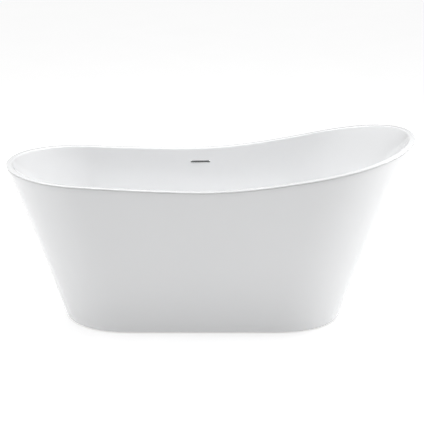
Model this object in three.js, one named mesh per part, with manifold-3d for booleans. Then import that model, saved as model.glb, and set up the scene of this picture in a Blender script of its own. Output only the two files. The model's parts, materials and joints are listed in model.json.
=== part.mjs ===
// A freestanding slipper bathtub: a one-piece acrylic basin with a rolled rim, an acrylic skirt around it,
// a steel underframe on five levelling feet, a click-clack waste and a slot overflow.
// Millimetres, +Z up, +X towards the high head end, floor at z = 0.
import * as THREE from 'three';
import { mergeVertices } from 'three/addons/utils/BufferGeometryUtils.js';
import Module from 'manifold-3d';

const wasm = await Module();
wasm.setup();

// ---- Rim, seen from above ----
const TUB_LENGTH = 1700;
const RIM_WIDTH = 746.6; // at mid-length
const RIM_SPREAD = 0.0552; // half-width gained for each mm towards the head end
const RIM_FOOT_STRAIGHT = 528; // straight side, from mid-length towards the foot end
const RIM_HEAD_STRAIGHT = 417; // and towards the head end
const RIM_ROUNDING = 2.2; // exponent of the rounded ends

// ---- Rim, seen from the side ----
const LOW_RIM = 632; // lowest height of the rim
const LOW_RIM_X = -64; // where it is lowest
const FOOT_RIM = 662; // height at the foot end
const HEAD_RIM = 775; // height at the head end
const SWEEP_SOFTNESS = 0.41; // 0 is a sharp dip, larger is a longer, flatter one

// ---- Base outline of the skirt, at floor level ----
const BASE_LENGTH = 1157;
const BASE_WIDTH = 560.4;
const BASE_X = -29;
const BASE_STRAIGHT = 279; // straight side each way from the middle of the base
const BASE_ROUNDING = 2.4;
const SHADOW_GAP = 6; // skirt's lower edge above the floor

// ---- Walls ----
const SKIRT_WALL = 6;
const SHELL_WALL = 8;
const RIM_LAND = 24; // flat top of the rim, outer edge to the basin's corner
const RIM_LIP = 6; // thickness of the rim's edge
const OUTER_EDGE_RADIUS = 4;
const INNER_EDGE_RADIUS = 10;
const RIM_JOINT = 0.8; // adhesive line between the rim's lip and the skirt
const BEAD_HEIGHT = 6; // adhesive bead under the rim, between skirt and basin
const BEAD_GAP = 0.6; // bead to the basin's back

// ---- Basin floor ----
const FLOOR_HEIGHT = 150; // top of the floor, at its edge
const FLOOR_FALL = 4; // fall from the edge to the waste
const FLOOR_LENGTH = 1040;
const FLOOR_WIDTH = 470;
const FLOOR_X = -45;
const FLOOR_STRAIGHT = 200;
const FLOOR_ROUNDING = 2.3;
const FLOOR_RADIUS = 80; // fillet between wall and floor
const SUMP_RADIUS = 60; // level seat around the waste

// ---- Underframe ----
const BOARD_THICKNESS = 15;
const BOARD_WIDTH = 330;
const BOARD_END = 70; // board past the outer cross rails
const BOARD_CORNER = 60;
const BOARD_HOLE = 60; // radius, around the waste
const RAIL_SIZE = 30;
const RAIL_WALL = 2;
const LONG_RAIL_Y = 130;
const LONG_RAIL_END = 35; // long rail past the outer cross rails
const CROSS_RAIL_X = { foot: -400, middle: 60, head: 350 };
const CROSS_RAIL_INSET = 34; // rail's end inside the base outline
const COACH_SCREW = { radius: 4, headRadius: 7.5, headHeight: 5.5, bite: 10 };

// ---- Levelling feet ----
const STUD_RADIUS = 6;
const STUD_BORE_GAP = 0.5;
const NUT_RADIUS = 10.5; // across the corners, half
const NUT_HEIGHT = 7;
const PAD_RADIUS = 24;
const PAD_HEIGHT = 14;
const PAD_SOCKET_FLOOR = 5;
const FOOT_INSET = 24; // foot's axis inside the cross rail's end

// ---- Skirt brackets ----
const BRACKET = { width: 32, plate: 3, height: 36, reach: 74, glue: 2, screwInset: 11 };
const BRACKET_SCREW = { radius: 3, headRadius: 5.5, headHeight: 3.5, length: 14 };

// ---- Waste ----
const WASTE_X = -43;
const BARREL_RADIUS = 22.5;
const BARREL_WALL = 3.5;
const BARREL_LENGTH = 54;
const FLANGE_RADIUS = 35;
const FLANGE_THICKNESS = 3;
const FLANGE_SEAL = 1.5;
const FLOOR_SEAL = 3;
const HOLE_GAP = 3; // hole in the floor around the barrel
const BODY_FLANGE_RADIUS = 42;
const BODY_RADIUS = 32;
const BODY_WALL = 3;
const OUTLET_RADIUS = 23.9; // 1 1/2 inch pipe thread
const OUTLET_BORE = 19;
const SHELF_DROP = 18; // where the body narrows to its outlet, under the overflow branch
const OUTLET_DROP = 41; // end of the outlet, under the branch
const BRANCH_REACH = 62;
const PLUG_LIFT = 8; // open above closed
const CAP_RADIUS = 31;
const CAP_DOME = 6;
const STEM_RADIUS = 4.3;
const CARTRIDGE_RADIUS = 7;
const CARTRIDGE_WALL = 2.4;
const SPRING = { turns: 6, radius: 3.1, wire: 0.6, height: 18 };

// ---- Overflow ----
const SLOT_DROP = 58; // slot's middle under the rim's lowest height
const SLOT_LENGTH = 81;
const SLOT_HEIGHT = 5;
const TRIM_WALL = 0.8;
const TRIM_BORDER = 2;
const TRIM_FACE = 1;
const TRIM_BED = 0.6; // sealant between the trim's face and the wall
const OVERFLOW_BODY = { width: 96, above: 20, below: 170, wall: 2, clearance: 2.4, skirtClearance: 1.8 };
const GASKET_BORDER = 5;
const HOSE_RADIUS = 12;
const HOSE_WALL = 1.7;
const HOSE_BEND = 110; // radius of its bend, to the centreline
const HOSE_RAIL_GAP = 4.4; // hose to the long rail that it passes under
const HOSE_STEP = 15; // between the points that set its route
const SPIGOT_SHOW = 4; // spigot between the overflow body and the hose
const HOSE_GRIP = 16; // spigot inside the hose
const SPIGOT_WALL = 2;
const CLAMP = { wall: 1, width: 8, block: 7, inset: 7 }; // inset: hose's end to the clamp's middle

const GAP = 0.3; // between pieces that touch
const SECTIONS = 72; // sections around the tub
const ROUND = 20; // sides of a large round piece
const SMALL_ROUND = 12; // sides of a small one
const HOSE_SIDES = 10;

const FINISH = {
  acrylic: { color: 0xf3f4f5, roughness: 0.12, metalness: 0 },
  adhesive: { color: 0xdedfdc, roughness: 0.6, metalness: 0 },
  board: { color: 0xb89a6c, roughness: 0.8, metalness: 0 },
  zinc: { color: 0xa9adb1, roughness: 0.4, metalness: 0.9 },
  rubber: { color: 0x1d1d1e, roughness: 0.85, metalness: 0 },
  chrome: { color: 0xd8dadc, roughness: 0.08, metalness: 1 },
  brass: { color: 0xb08d4a, roughness: 0.3, metalness: 1 },
  steel: { color: 0xb9bcc0, roughness: 0.3, metalness: 1 },
  plastic: { color: 0xe4e5e6, roughness: 0.45, metalness: 0 },
  hose: { color: 0xc9cccf, roughness: 0.5, metalness: 0 },
};

// ================= Solids =================

// Welds a geometry into one closed body with its faces pointing out.
function welded(geometry) {
  const bare = geometry.clone();
  bare.deleteAttribute('normal');
  bare.deleteAttribute('uv');
  const merged = mergeVertices(bare, 1e-4);
  const position = merged.getAttribute('position');
  const old = merged.index.array;
  const index = [];
  for (let i = 0; i < old.length; i += 3) {
    const [a, b, c] = [old[i], old[i + 1], old[i + 2]];
    if (a !== b && b !== c && c !== a) index.push(a, b, c);
  }
  if (signedVolume(position, index) < 0) index.reverse();
  merged.setIndex(index);
  return merged;
}

function signedVolume(position, index) {
  const [a, b, c] = [new THREE.Vector3(), new THREE.Vector3(), new THREE.Vector3()];
  let volume = 0;
  for (let i = 0; i < index.length; i += 3) {
    a.fromBufferAttribute(position, index[i]);
    b.fromBufferAttribute(position, index[i + 1]);
    c.fromBufferAttribute(position, index[i + 2]);
    volume += a.dot(b.cross(c));
  }
  return volume / 6;
}

function toManifold(geometry) {
  const closed = welded(geometry);
  return new wasm.Manifold(new wasm.Mesh({
    numProp: 3,
    vertProperties: new Float32Array(closed.getAttribute('position').array),
    triVerts: new Uint32Array(closed.index.array),
  }));
}

function fromManifold(solid) {
  const mesh = solid.getMesh();
  const geometry = new THREE.BufferGeometry();
  geometry.setAttribute('position', new THREE.BufferAttribute(new Float32Array(mesh.vertProperties), 3));
  geometry.setIndex([...mesh.triVerts]);
  return geometry;
}

function cut(geometry, ...tools) {
  const solid = tools.reduce((left, tool) => left.subtract(toManifold(tool)), toManifold(geometry));
  return fromManifold(solid);
}

function join(geometry, ...others) {
  const solid = others.reduce((sum, other) => sum.add(toManifold(other)), toManifold(geometry));
  return fromManifold(solid);
}

// A round piece on the Z axis, from [radius, height] points that start and end on the axis or close.
function turned(points, sides = ROUND) {
  const profile = points.map(([radius, height]) => new THREE.Vector2(radius, height));
  return new THREE.LatheGeometry(profile, sides).rotateX(Math.PI / 2);
}

function rod(radius, bottom, top, sides = SMALL_ROUND) {
  return turned([[0, bottom], [radius, bottom], [radius, top], [0, top]], sides);
}

function ring(inner, outer, bottom, top, sides = ROUND) {
  return turned([[inner, bottom], [outer, bottom], [outer, top], [inner, top], [inner, bottom]], sides);
}

function box(width, depth, bottom, top) {
  return new THREE.BoxGeometry(width, depth, top - bottom).translate(0, 0, (bottom + top) / 2);
}

// A closed outline of [across, up] points drawn in the YZ plane and carried along X, centred on x = 0.
function extrudedAlongX(points, length) {
  const shape = new THREE.Shape(points.map(([across, up]) => new THREE.Vector2(across, up)));
  const geometry = new THREE.ExtrudeGeometry(shape, { depth: length, bevelEnabled: false });
  geometry.translate(0, 0, -length / 2);
  const axes = new THREE.Matrix4().set(0, 0, 1, 0, 1, 0, 0, 0, 0, 1, 0, 0, 0, 0, 0, 1);
  return geometry.applyMatrix4(axes);
}

// A slot-shaped bar with round ends: length along X, height along Z, carried along Y.
function slotBar(length, height, from, to) {
  const radius = height / 2;
  const shape = new THREE.Shape();
  shape.absarc(length / 2 - radius, 0, radius, -Math.PI / 2, Math.PI / 2);
  shape.absarc(-length / 2 + radius, 0, radius, Math.PI / 2, (3 * Math.PI) / 2);
  const geometry = new THREE.ExtrudeGeometry(shape, {
    depth: to - from, bevelEnabled: false, curveSegments: 6,
  });
  return geometry.rotateX(Math.PI / 2).translate(0, to, 0);
}

// Rings of points joined into a skin. Each ring holds SECTIONS points in the same order.
function skinIndex(ringCount, closed) {
  const index = [];
  const last = closed ? ringCount : ringCount - 1;
  for (let r = 0; r < last; r += 1) {
    const here = r * SECTIONS;
    const next = ((r + 1) % ringCount) * SECTIONS;
    for (let i = 0; i < SECTIONS; i += 1) {
      const j = (i + 1) % SECTIONS;
      index.push(here + i, here + j, next + j, here + i, next + j, next + i);
    }
  }
  return index;
}

function skin(points, index) {
  const geometry = new THREE.BufferGeometry();
  geometry.setAttribute('position', new THREE.Float32BufferAttribute(points.flatMap((p) => p.toArray()), 3));
  geometry.setIndex(index);
  return geometry;
}

// A closed hoop whose section is the loop of rings.
function hoop(rings) {
  return skin(rings.flat(), skinIndex(rings.length, true));
}

// A closed body whose first and last rings are capped by a middle point each.
function capped(rings, firstMiddle, lastMiddle) {
  const points = [...rings.flat(), firstMiddle, lastMiddle];
  const index = skinIndex(rings.length, false);
  const lastRing = (rings.length - 1) * SECTIONS;
  const [first, last] = [points.length - 2, points.length - 1];
  for (let i = 0; i < SECTIONS; i += 1) {
    const j = (i + 1) % SECTIONS;
    index.push(first, j, i, last, lastRing + i, lastRing + j);
  }
  return skin(points, index);
}

function part(name, geometry, finish) {
  const mesh = new THREE.Mesh(welded(geometry), new THREE.MeshStandardMaterial(finish));
  mesh.name = name;
  return mesh;
}

function placed(mesh, x, y, z = 0) {
  mesh.position.set(x, y, z);
  return mesh;
}

// ================= Outlines and surfaces =================

const RIM_OUTLINE = {
  centre: 0,
  halfLength: TUB_LENGTH / 2,
  halfWidth: RIM_WIDTH / 2,
  spread: RIM_SPREAD,
  footStraight: RIM_FOOT_STRAIGHT,
  headStraight: RIM_HEAD_STRAIGHT,
  rounding: RIM_ROUNDING,
};

const BASE_OUTLINE = {
  centre: BASE_X,
  halfLength: BASE_LENGTH / 2,
  halfWidth: BASE_WIDTH / 2,
  spread: 0,
  footStraight: BASE_STRAIGHT,
  headStraight: BASE_STRAIGHT,
  rounding: BASE_ROUNDING,
};

const FLOOR_OUTLINE = {
  centre: FLOOR_X,
  halfLength: FLOOR_LENGTH / 2,
  halfWidth: FLOOR_WIDTH / 2,
  spread: 0,
  footStraight: FLOOR_STRAIGHT,
  headStraight: FLOOR_STRAIGHT,
  rounding: FLOOR_ROUNDING,
};

// Half-width of an outline at a distance along from its middle.
function halfWidthAt(outline, along) {
  const straight = along < 0 ? outline.footStraight : outline.headStraight;
  const beyond = Math.max(0, (Math.abs(along) - straight) / (outline.halfLength - straight));
  const side = outline.halfWidth + outline.spread * along;
  return side * Math.sqrt(Math.max(0, 1 - beyond ** outline.rounding));
}

// A point of an outline. The turn goes from 0 at the foot end, by the front, to PI at the head end.
function outlinePoint(outline, turn, height) {
  const along = -outline.halfLength * Math.cos(turn);
  const side = -Math.sign(Math.sin(turn)) * halfWidthAt(outline, along);
  return new THREE.Vector3(outline.centre + along, side, height);
}

function rimHeight(x) {
  const towardsHead = x > LOW_RIM_X;
  const reach = TUB_LENGTH / 2 + (towardsHead ? -LOW_RIM_X : LOW_RIM_X);
  const t = Math.abs(x - LOW_RIM_X) / reach;
  const rise = (towardsHead ? HEAD_RIM : FOOT_RIM) - LOW_RIM;
  const ease = Math.hypot(t, SWEEP_SOFTNESS) - SWEEP_SOFTNESS;
  return LOW_RIM + (rise * ease) / (Math.hypot(1, SWEEP_SOFTNESS) - SWEEP_SOFTNESS);
}

function rimPoint(turn) {
  const point = outlinePoint(RIM_OUTLINE, turn, 0);
  point.z = rimHeight(point.x);
  return point;
}

// Level direction across the rim, towards the inside of the tub.
function rimInward(turn) {
  const step = 1e-3;
  const along = outlinePoint(RIM_OUTLINE, turn + step, 0).sub(outlinePoint(RIM_OUTLINE, turn - step, 0));
  return new THREE.Vector3(-along.y, along.x, 0).normalize();
}

// Top of the skirt's outer face, in the joint under the rim's lip.
function skirtTop(turn) {
  const rim = rimPoint(turn);
  return rim.setZ(rim.z - RIM_LIP - RIM_JOINT);
}

// The skirt's outer face is ruled from there to the base outline.
function skirtPoint(turn, height) {
  const top = skirtTop(turn);
  const base = outlinePoint(BASE_OUTLINE, turn, 0);
  return top.lerp(base, (top.z - height) / top.z);
}

function skirtInward(turn, height) {
  const step = 1e-3;
  const along = skirtPoint(turn + step, height).sub(skirtPoint(turn - step, height));
  const down = skirtPoint(turn, height - 1).sub(skirtPoint(turn, height));
  return along.cross(down).normalize();
}

// A point level with the outer face and a depth inside it, measured square to the face.
function skirtInside(turn, height, depth) {
  const inward = skirtInward(turn, height);
  const level = Math.hypot(inward.x, inward.y);
  const step = new THREE.Vector3(inward.x, inward.y, 0).multiplyScalar(depth / (level * level));
  return skirtPoint(turn, height).add(step);
}

// A point in the joint under the rim's lip, at a depth from the skirt's outer face.
function jointPoint(turn, depth) {
  const outer = skirtTop(turn);
  const inward = skirtInward(turn, outer.z);
  return outer.addScaledVector(rimInward(turn), depth / Math.hypot(inward.x, inward.y));
}

// One section of the basin: the wall falls from the rim's inner corner to the floor's corner.
function basinSection(turn) {
  const inward = rimInward(turn);
  const rim = rimPoint(turn);
  const upper = rim.clone().addScaledVector(inward, RIM_LAND);
  const lower = outlinePoint(FLOOR_OUTLINE, turn, FLOOR_HEIGHT);
  const level = new THREE.Vector3(lower.x - upper.x, lower.y - upper.y, 0);
  const run = level.length();
  const slope = Math.atan2(upper.z - FLOOR_HEIGHT, run);
  return { rim, inward, upper, level: level.normalize(), run, slope };
}

// A point of that section, at a run from the rim's corner and a height.
function sectionPoint(section, run, height) {
  const point = section.upper.clone().addScaledVector(section.level, run);
  point.z = height;
  return point;
}

// The basin's wall at a height: depth 0 is the bathing side, SHELL_WALL the back.
function basinWall(turn, height, depth) {
  const section = basinSection(turn);
  const run = (section.upper.z - height) / Math.tan(section.slope) - depth / Math.sin(section.slope);
  return sectionPoint(section, run, height);
}

// The turn on the front half where a surface reaches x, found by halving.
function turnAt(surface, x) {
  let [low, high] = [0.01, Math.PI - 0.01];
  for (let i = 0; i < 40; i += 1) {
    const middle = (low + high) / 2;
    if (surface(middle).x < x) low = middle;
    else high = middle;
  }
  return (low + high) / 2;
}

const TURNS = Array.from({ length: SECTIONS }, (_, i) => (2 * Math.PI * i) / SECTIONS);
const ringOf = (pointAt) => TURNS.map(pointAt);

// ================= Heights, from the floor of the basin down =================

const SUMP_TOP = FLOOR_HEIGHT - FLOOR_FALL;
const SHELL_UNDERSIDE = SUMP_TOP - SHELL_WALL;
const BOARD_TOP = SHELL_UNDERSIDE - GAP;
const BOARD_BOTTOM = BOARD_TOP - BOARD_THICKNESS;
const LONG_RAIL_TOP = BOARD_BOTTOM - GAP;
const LONG_RAIL_BOTTOM = LONG_RAIL_TOP - RAIL_SIZE;
const CROSS_RAIL_TOP = LONG_RAIL_BOTTOM - GAP;
const CROSS_RAIL_BOTTOM = CROSS_RAIL_TOP - RAIL_SIZE;
const FLANGE_BOTTOM = SUMP_TOP + GAP + FLANGE_SEAL + GAP;
const FLANGE_TOP = FLANGE_BOTTOM + FLANGE_THICKNESS;
const BARREL_BOTTOM = FLANGE_TOP - BARREL_LENGTH;
const BARREL_BORE = BARREL_RADIUS - BARREL_WALL;
const BODY_TOP = SHELL_UNDERSIDE - GAP - FLOOR_SEAL - GAP;
const BRANCH_HEIGHT = LONG_RAIL_BOTTOM - HOSE_RADIUS - HOSE_RAIL_GAP;
const BODY_SHELF = BRANCH_HEIGHT - SHELF_DROP;
const OUTLET_HEIGHT = BRANCH_HEIGHT - OUTLET_DROP;
const SLOT_Z = LOW_RIM - SLOT_DROP;
// The spigots fit inside the flats of the faceted hose.
const SPIGOT_RADIUS = (HOSE_RADIUS - HOSE_WALL) * Math.cos(Math.PI / HOSE_SIDES) - GAP;

// ================= Acrylic =================

function arc(count, from, to, pointAt) {
  return Array.from({ length: count + 1 }, (_, i) => pointAt(from + ((to - from) * i) / count));
}

// The basin's section, from the waste outwards over the rim and back underneath.
function shellSectionPoints(turn) {
  const section = basinSection(turn);
  const { rim, inward, slope, run } = section;
  const half = Math.tan(slope / 2);
  const floorEnd = run + FLOOR_RADIUS * half;
  const sumpPoint = (height) => {
    const edge = sectionPoint(section, floorEnd, height);
    const away = new THREE.Vector3(edge.x - WASTE_X, edge.y, 0).setLength(SUMP_RADIUS);
    return new THREE.Vector3(WASTE_X + away.x, away.y, height);
  };
  const floorArc = (radius, floor) => (angle) => {
    const back = floorEnd - radius * Math.sin(angle);
    return sectionPoint(section, back, floor + radius * (1 - Math.cos(angle)));
  };
  const cornerStart = -INNER_EDGE_RADIUS * half;
  const cornerArc = (angle) => {
    const forward = cornerStart + INNER_EDGE_RADIUS * Math.sin(angle);
    return sectionPoint(section, forward, rim.z - INNER_EDGE_RADIUS * (1 - Math.cos(angle)));
  };
  const edgeArc = (angle) => {
    const point = rim.clone().addScaledVector(inward, OUTER_EDGE_RADIUS * (1 - Math.cos(angle)));
    point.z -= OUTER_EDGE_RADIUS * (1 - Math.sin(angle));
    return point;
  };
  const lip = rim.clone().setZ(rim.z - RIM_LIP);
  const underRim = basinWall(turn, rim.z - RIM_LIP, SHELL_WALL);
  const underFloor = FLOOR_HEIGHT - SHELL_WALL;
  return [
    sumpPoint(SUMP_TOP),
    ...arc(4, 0, slope, floorArc(FLOOR_RADIUS, FLOOR_HEIGHT)),
    ...arc(3, slope, 0, cornerArc),
    ...arc(2, Math.PI / 2, 0, edgeArc),
    lip,
    underRim,
    ...arc(4, slope, 0, floorArc(FLOOR_RADIUS + SHELL_WALL, underFloor)),
    sumpPoint(SHELL_UNDERSIDE),
  ];
}

function innerShell() {
  const sections = TURNS.map(shellSectionPoints);
  const rings = sections[0].map((_, r) => sections.map((section) => section[r]));
  const middle = (height) => new THREE.Vector3(WASTE_X, 0, height);
  const shell = capped(rings, middle(SUMP_TOP), middle(SHELL_UNDERSIDE));
  const wasteHole = rod(BARREL_RADIUS + HOLE_GAP, SHELL_UNDERSIDE - 5, SUMP_TOP + 5, ROUND);
  wasteHole.translate(WASTE_X, 0, 0);
  return part('inner_shell', cut(shell, wasteHole, slotTool()), FINISH.acrylic);
}

function outerSkirt() {
  return part('outer_skirt', hoop([
    ringOf((turn) => jointPoint(turn, 0)),
    ringOf((turn) => skirtPoint(turn, SHADOW_GAP)),
    ringOf((turn) => skirtInside(turn, SHADOW_GAP, SKIRT_WALL)),
    ringOf((turn) => jointPoint(turn, SKIRT_WALL)),
  ]), FINISH.acrylic);
}

// The adhesive bead that bonds the basin to the inside of the skirt, under the rim.
function rimBead() {
  const top = (turn) => jointPoint(turn, SKIRT_WALL + GAP);
  const bottom = (turn) => {
    const point = top(turn);
    const down = skirtPoint(turn, point.z - BEAD_HEIGHT).sub(skirtPoint(turn, point.z));
    return point.add(down);
  };
  const basinSide = (turn, drop) => basinWall(turn, skirtTop(turn).z - drop, SHELL_WALL + BEAD_GAP);
  return part('rim_bond_bead', hoop([
    ringOf(top),
    ringOf(bottom),
    ringOf((turn) => basinSide(turn, BEAD_HEIGHT)),
    ringOf((turn) => basinSide(turn, 0)),
  ]), FINISH.adhesive);
}

// ================= Underframe =================

const CROSS_RAILS = Object.entries(CROSS_RAIL_X).map(([name, x]) => ({
  name,
  x,
  half: halfWidthAt(BASE_OUTLINE, x - BASE_X) - CROSS_RAIL_INSET,
}));
const SIDES = { front: -1, rear: 1 };

function coachHole(x, y) {
  const top = BOARD_BOTTOM + COACH_SCREW.bite + 1;
  return rod(COACH_SCREW.radius + GAP, CROSS_RAIL_BOTTOM - 5, top).translate(x, y, 0);
}

function coachHoles() {
  return CROSS_RAILS.flatMap(({ x }) => [coachHole(x, -LONG_RAIL_Y), coachHole(x, LONG_RAIL_Y)]);
}

function baseBoard() {
  const [first, last] = [CROSS_RAIL_X.foot - BOARD_END, CROSS_RAIL_X.head + BOARD_END];
  const [right, top] = [last - BOARD_CORNER, BOARD_WIDTH / 2 - BOARD_CORNER];
  const left = first + BOARD_CORNER;
  const shape = new THREE.Shape();
  shape.absarc(right, -top, BOARD_CORNER, -Math.PI / 2, 0);
  shape.absarc(right, top, BOARD_CORNER, 0, Math.PI / 2);
  shape.absarc(left, top, BOARD_CORNER, Math.PI / 2, Math.PI);
  shape.absarc(left, -top, BOARD_CORNER, Math.PI, 1.5 * Math.PI);
  const slab = new THREE.ExtrudeGeometry(shape, {
    depth: BOARD_THICKNESS, bevelEnabled: false, curveSegments: 6,
  });
  slab.translate(0, 0, BOARD_BOTTOM);
  const wasteHole = rod(BOARD_HOLE, BOARD_BOTTOM - 5, BOARD_TOP + 5, ROUND).translate(WASTE_X, 0, 0);
  return part('base_board', cut(slab, wasteHole, ...coachHoles()), FINISH.board);
}

// A square tube along X, open at both ends.
function squareTube(length, bottom) {
  const bore = RAIL_SIZE - 2 * RAIL_WALL;
  const outer = new THREE.BoxGeometry(length, RAIL_SIZE, RAIL_SIZE);
  const inner = new THREE.BoxGeometry(length + 10, bore, bore);
  return cut(outer, inner).translate(0, 0, bottom + RAIL_SIZE / 2);
}

function longRail(side) {
  const first = CROSS_RAIL_X.foot - LONG_RAIL_END;
  const last = CROSS_RAIL_X.head + LONG_RAIL_END;
  const y = SIDES[side] * LONG_RAIL_Y;
  const tube = squareTube(last - first, LONG_RAIL_BOTTOM).translate((first + last) / 2, y, 0);
  return part(`long_rail_${side}`, cut(tube, ...coachHoles()), FINISH.zinc);
}

function footPlaces() {
  const corners = ['foot', 'head'].flatMap((end) => {
    const { x, half } = CROSS_RAILS.find((rail) => rail.name === end);
    return Object.entries(SIDES).map(([side, sign]) => ({
      name: `${end}_${side}`, x, y: sign * (half - FOOT_INSET),
    }));
  });
  return [...corners, { name: 'middle', x: CROSS_RAIL_X.middle, y: 0 }];
}

function bracketPlaces() {
  return ['foot', 'head'].flatMap((end) => {
    const { x, half } = CROSS_RAILS.find((rail) => rail.name === end);
    return Object.entries(SIDES).map(([side, sign]) => ({
      name: `${end}_${side}`, x, sign, screwY: sign * (half - BRACKET.screwInset),
    }));
  });
}

function crossRail({ name, x, half }) {
  const tube = squareTube(2 * half, CROSS_RAIL_BOTTOM).rotateZ(Math.PI / 2).translate(x, 0, 0);
  const middle = CROSS_RAIL_BOTTOM + RAIL_SIZE / 2;
  const studHoles = footPlaces().filter((foot) => foot.x === x).map((foot) => (
    rod(STUD_RADIUS + STUD_BORE_GAP, CROSS_RAIL_BOTTOM - 5, middle).translate(x, foot.y, 0)
  ));
  const screwHoles = bracketPlaces().filter((place) => place.x === x).map((place) => (
    rod(BRACKET_SCREW.radius + GAP, middle, CROSS_RAIL_TOP + 5).translate(x, place.screwY, 0)
  ));
  return part(`cross_rail_${name}`, cut(tube, ...coachHoles(), ...studHoles, ...screwHoles), FINISH.zinc);
}

function coachScrew(name, x, y) {
  const underHead = CROSS_RAIL_BOTTOM - GAP;
  const { radius, headRadius, headHeight, bite } = COACH_SCREW;
  const head = rod(headRadius, underHead - headHeight, underHead, 6);
  const shank = rod(radius, underHead - 1, BOARD_BOTTOM + bite);
  return placed(part(`coach_screw_${name}`, join(head, shank), FINISH.zinc), x, y);
}

function coachScrews() {
  return CROSS_RAILS.flatMap(({ name, x }) => Object.entries(SIDES).map(([side, sign]) => (
    coachScrew(`${name}_${side}`, x, sign * LONG_RAIL_Y)
  )));
}

// A levelling foot: a pad on the floor, a stud that turns in it and a lock nut under the rail.
function levellingFoot({ name, x, y }) {
  const studTop = CROSS_RAIL_BOTTOM + RAIL_SIZE - RAIL_WALL - 3;
  const neck = STUD_RADIUS + STUD_BORE_GAP + 3;
  const socket = STUD_RADIUS + STUD_BORE_GAP;
  const pad = turned([
    [0, 0], [PAD_RADIUS - 2, 0], [PAD_RADIUS, 2], [PAD_RADIUS, 4], [neck, PAD_HEIGHT - 3],
    [neck, PAD_HEIGHT], [socket, PAD_HEIGHT], [socket, PAD_SOCKET_FLOOR], [0, PAD_SOCKET_FLOOR],
  ]);
  const stud = rod(STUD_RADIUS, PAD_SOCKET_FLOOR + GAP, studTop);
  const nutTop = CROSS_RAIL_BOTTOM - GAP;
  const nut = cut(
    rod(NUT_RADIUS, nutTop - NUT_HEIGHT, nutTop, 6),
    rod(STUD_RADIUS + STUD_BORE_GAP, nutTop - NUT_HEIGHT - 1, nutTop + 1),
  );
  return [
    placed(part(`foot_pad_${name}`, pad, FINISH.rubber), x, y),
    placed(part(`foot_stud_${name}`, stud, FINISH.zinc), x, y),
    placed(part(`foot_lock_nut_${name}`, nut, FINISH.zinc), x, y),
  ];
}

// An angle screwed to a cross rail's end and bonded to the inside of the skirt.
function skirtBracket({ name, x, sign, screwY }) {
  const bottom = CROSS_RAIL_TOP + GAP;
  const top = bottom + BRACKET.height;
  const turn = turnAt((t) => skirtPoint(t, bottom), x);
  const depth = SKIRT_WALL + BRACKET.glue;
  const [low, high] = [skirtInside(turn, bottom, depth), skirtInside(turn, top, depth)];
  const inward = skirtInward(turn, bottom).setZ(0).normalize();
  const lean = -high.clone().sub(low).dot(inward) / BRACKET.height;
  const { plate, reach, width, height } = BRACKET;
  const angle = extrudedAlongX([
    [0, 0], [height * lean, height], [height * lean - plate, height],
    [plate * lean - plate, plate], [-reach, plate], [-reach, 0],
  ], width);
  // Drawn with outwards along +Y, then turned to face the skirt on its side.
  const facing = Math.atan2(inward.x, sign * inward.y);
  angle.rotateZ(facing).translate(low.x, -sign * low.y, bottom);
  const { radius, headRadius, headHeight, length } = BRACKET_SCREW;
  const hole = rod(radius + GAP, bottom - 5, bottom + plate + 5).translate(x, screwY, 0);
  const underHead = bottom + plate + GAP;
  const head = rod(headRadius, underHead, underHead + headHeight);
  const shank = rod(radius, underHead - length, underHead + 1);
  return [
    part(`skirt_bracket_${name}`, cut(angle, hole), FINISH.zinc),
    placed(part(`bracket_screw_${name}`, join(head, shank), FINISH.zinc), x, screwY),
  ];
}

// ================= Waste =================

const CAP_BOTTOM = FLANGE_TOP + GAP + PLUG_LIFT;
const HUB_HEIGHT = 6;
const HUB_BOTTOM = BARREL_BOTTOM + 6;
const HUB_TOP = HUB_BOTTOM + HUB_HEIGHT;
const CUP_FLOOR = HUB_TOP + GAP + 2;
const CUP_BORE = CARTRIDGE_RADIUS - CARTRIDGE_WALL + GAP;
const PLUG_SEAL_HEIGHT = 2.7;
const STEM_DISC = 3;

function wasteFlange() {
  const body = turned([
    [BARREL_BORE, BARREL_BOTTOM], [BARREL_RADIUS, BARREL_BOTTOM], [BARREL_RADIUS, FLANGE_BOTTOM],
    [FLANGE_RADIUS, FLANGE_BOTTOM], [FLANGE_RADIUS, FLANGE_BOTTOM + 1], [FLANGE_RADIUS - 2, FLANGE_TOP],
    [BARREL_BORE + 1, FLANGE_TOP], [BARREL_BORE, FLANGE_TOP - 1], [BARREL_BORE, BARREL_BOTTOM],
  ]);
  const hub = rod(CARTRIDGE_RADIUS + 1, HUB_BOTTOM, HUB_TOP);
  const spoke = box(2 * BARREL_BORE + 2, 3, HUB_BOTTOM, HUB_TOP);
  const bore = rod(STEM_RADIUS + GAP, HUB_BOTTOM - 5, HUB_TOP + 5);
  const spider = cut(join(hub, spoke, spoke.clone().rotateZ(Math.PI / 2)), bore);
  return placed(part('waste_flange', join(body, spider), FINISH.chrome), WASTE_X, 0);
}

function wasteSeals() {
  const bore = BARREL_RADIUS + GAP;
  const upper = ring(bore, FLANGE_RADIUS - 1, SUMP_TOP + GAP, SUMP_TOP + GAP + FLANGE_SEAL);
  const lower = ring(bore, BODY_FLANGE_RADIUS - 2, BODY_TOP + GAP, BODY_TOP + GAP + FLOOR_SEAL);
  return [
    placed(part('flange_seal', upper, FINISH.rubber), WASTE_X, 0),
    placed(part('floor_seal', lower, FINISH.rubber), WASTE_X, 0),
  ];
}

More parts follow.
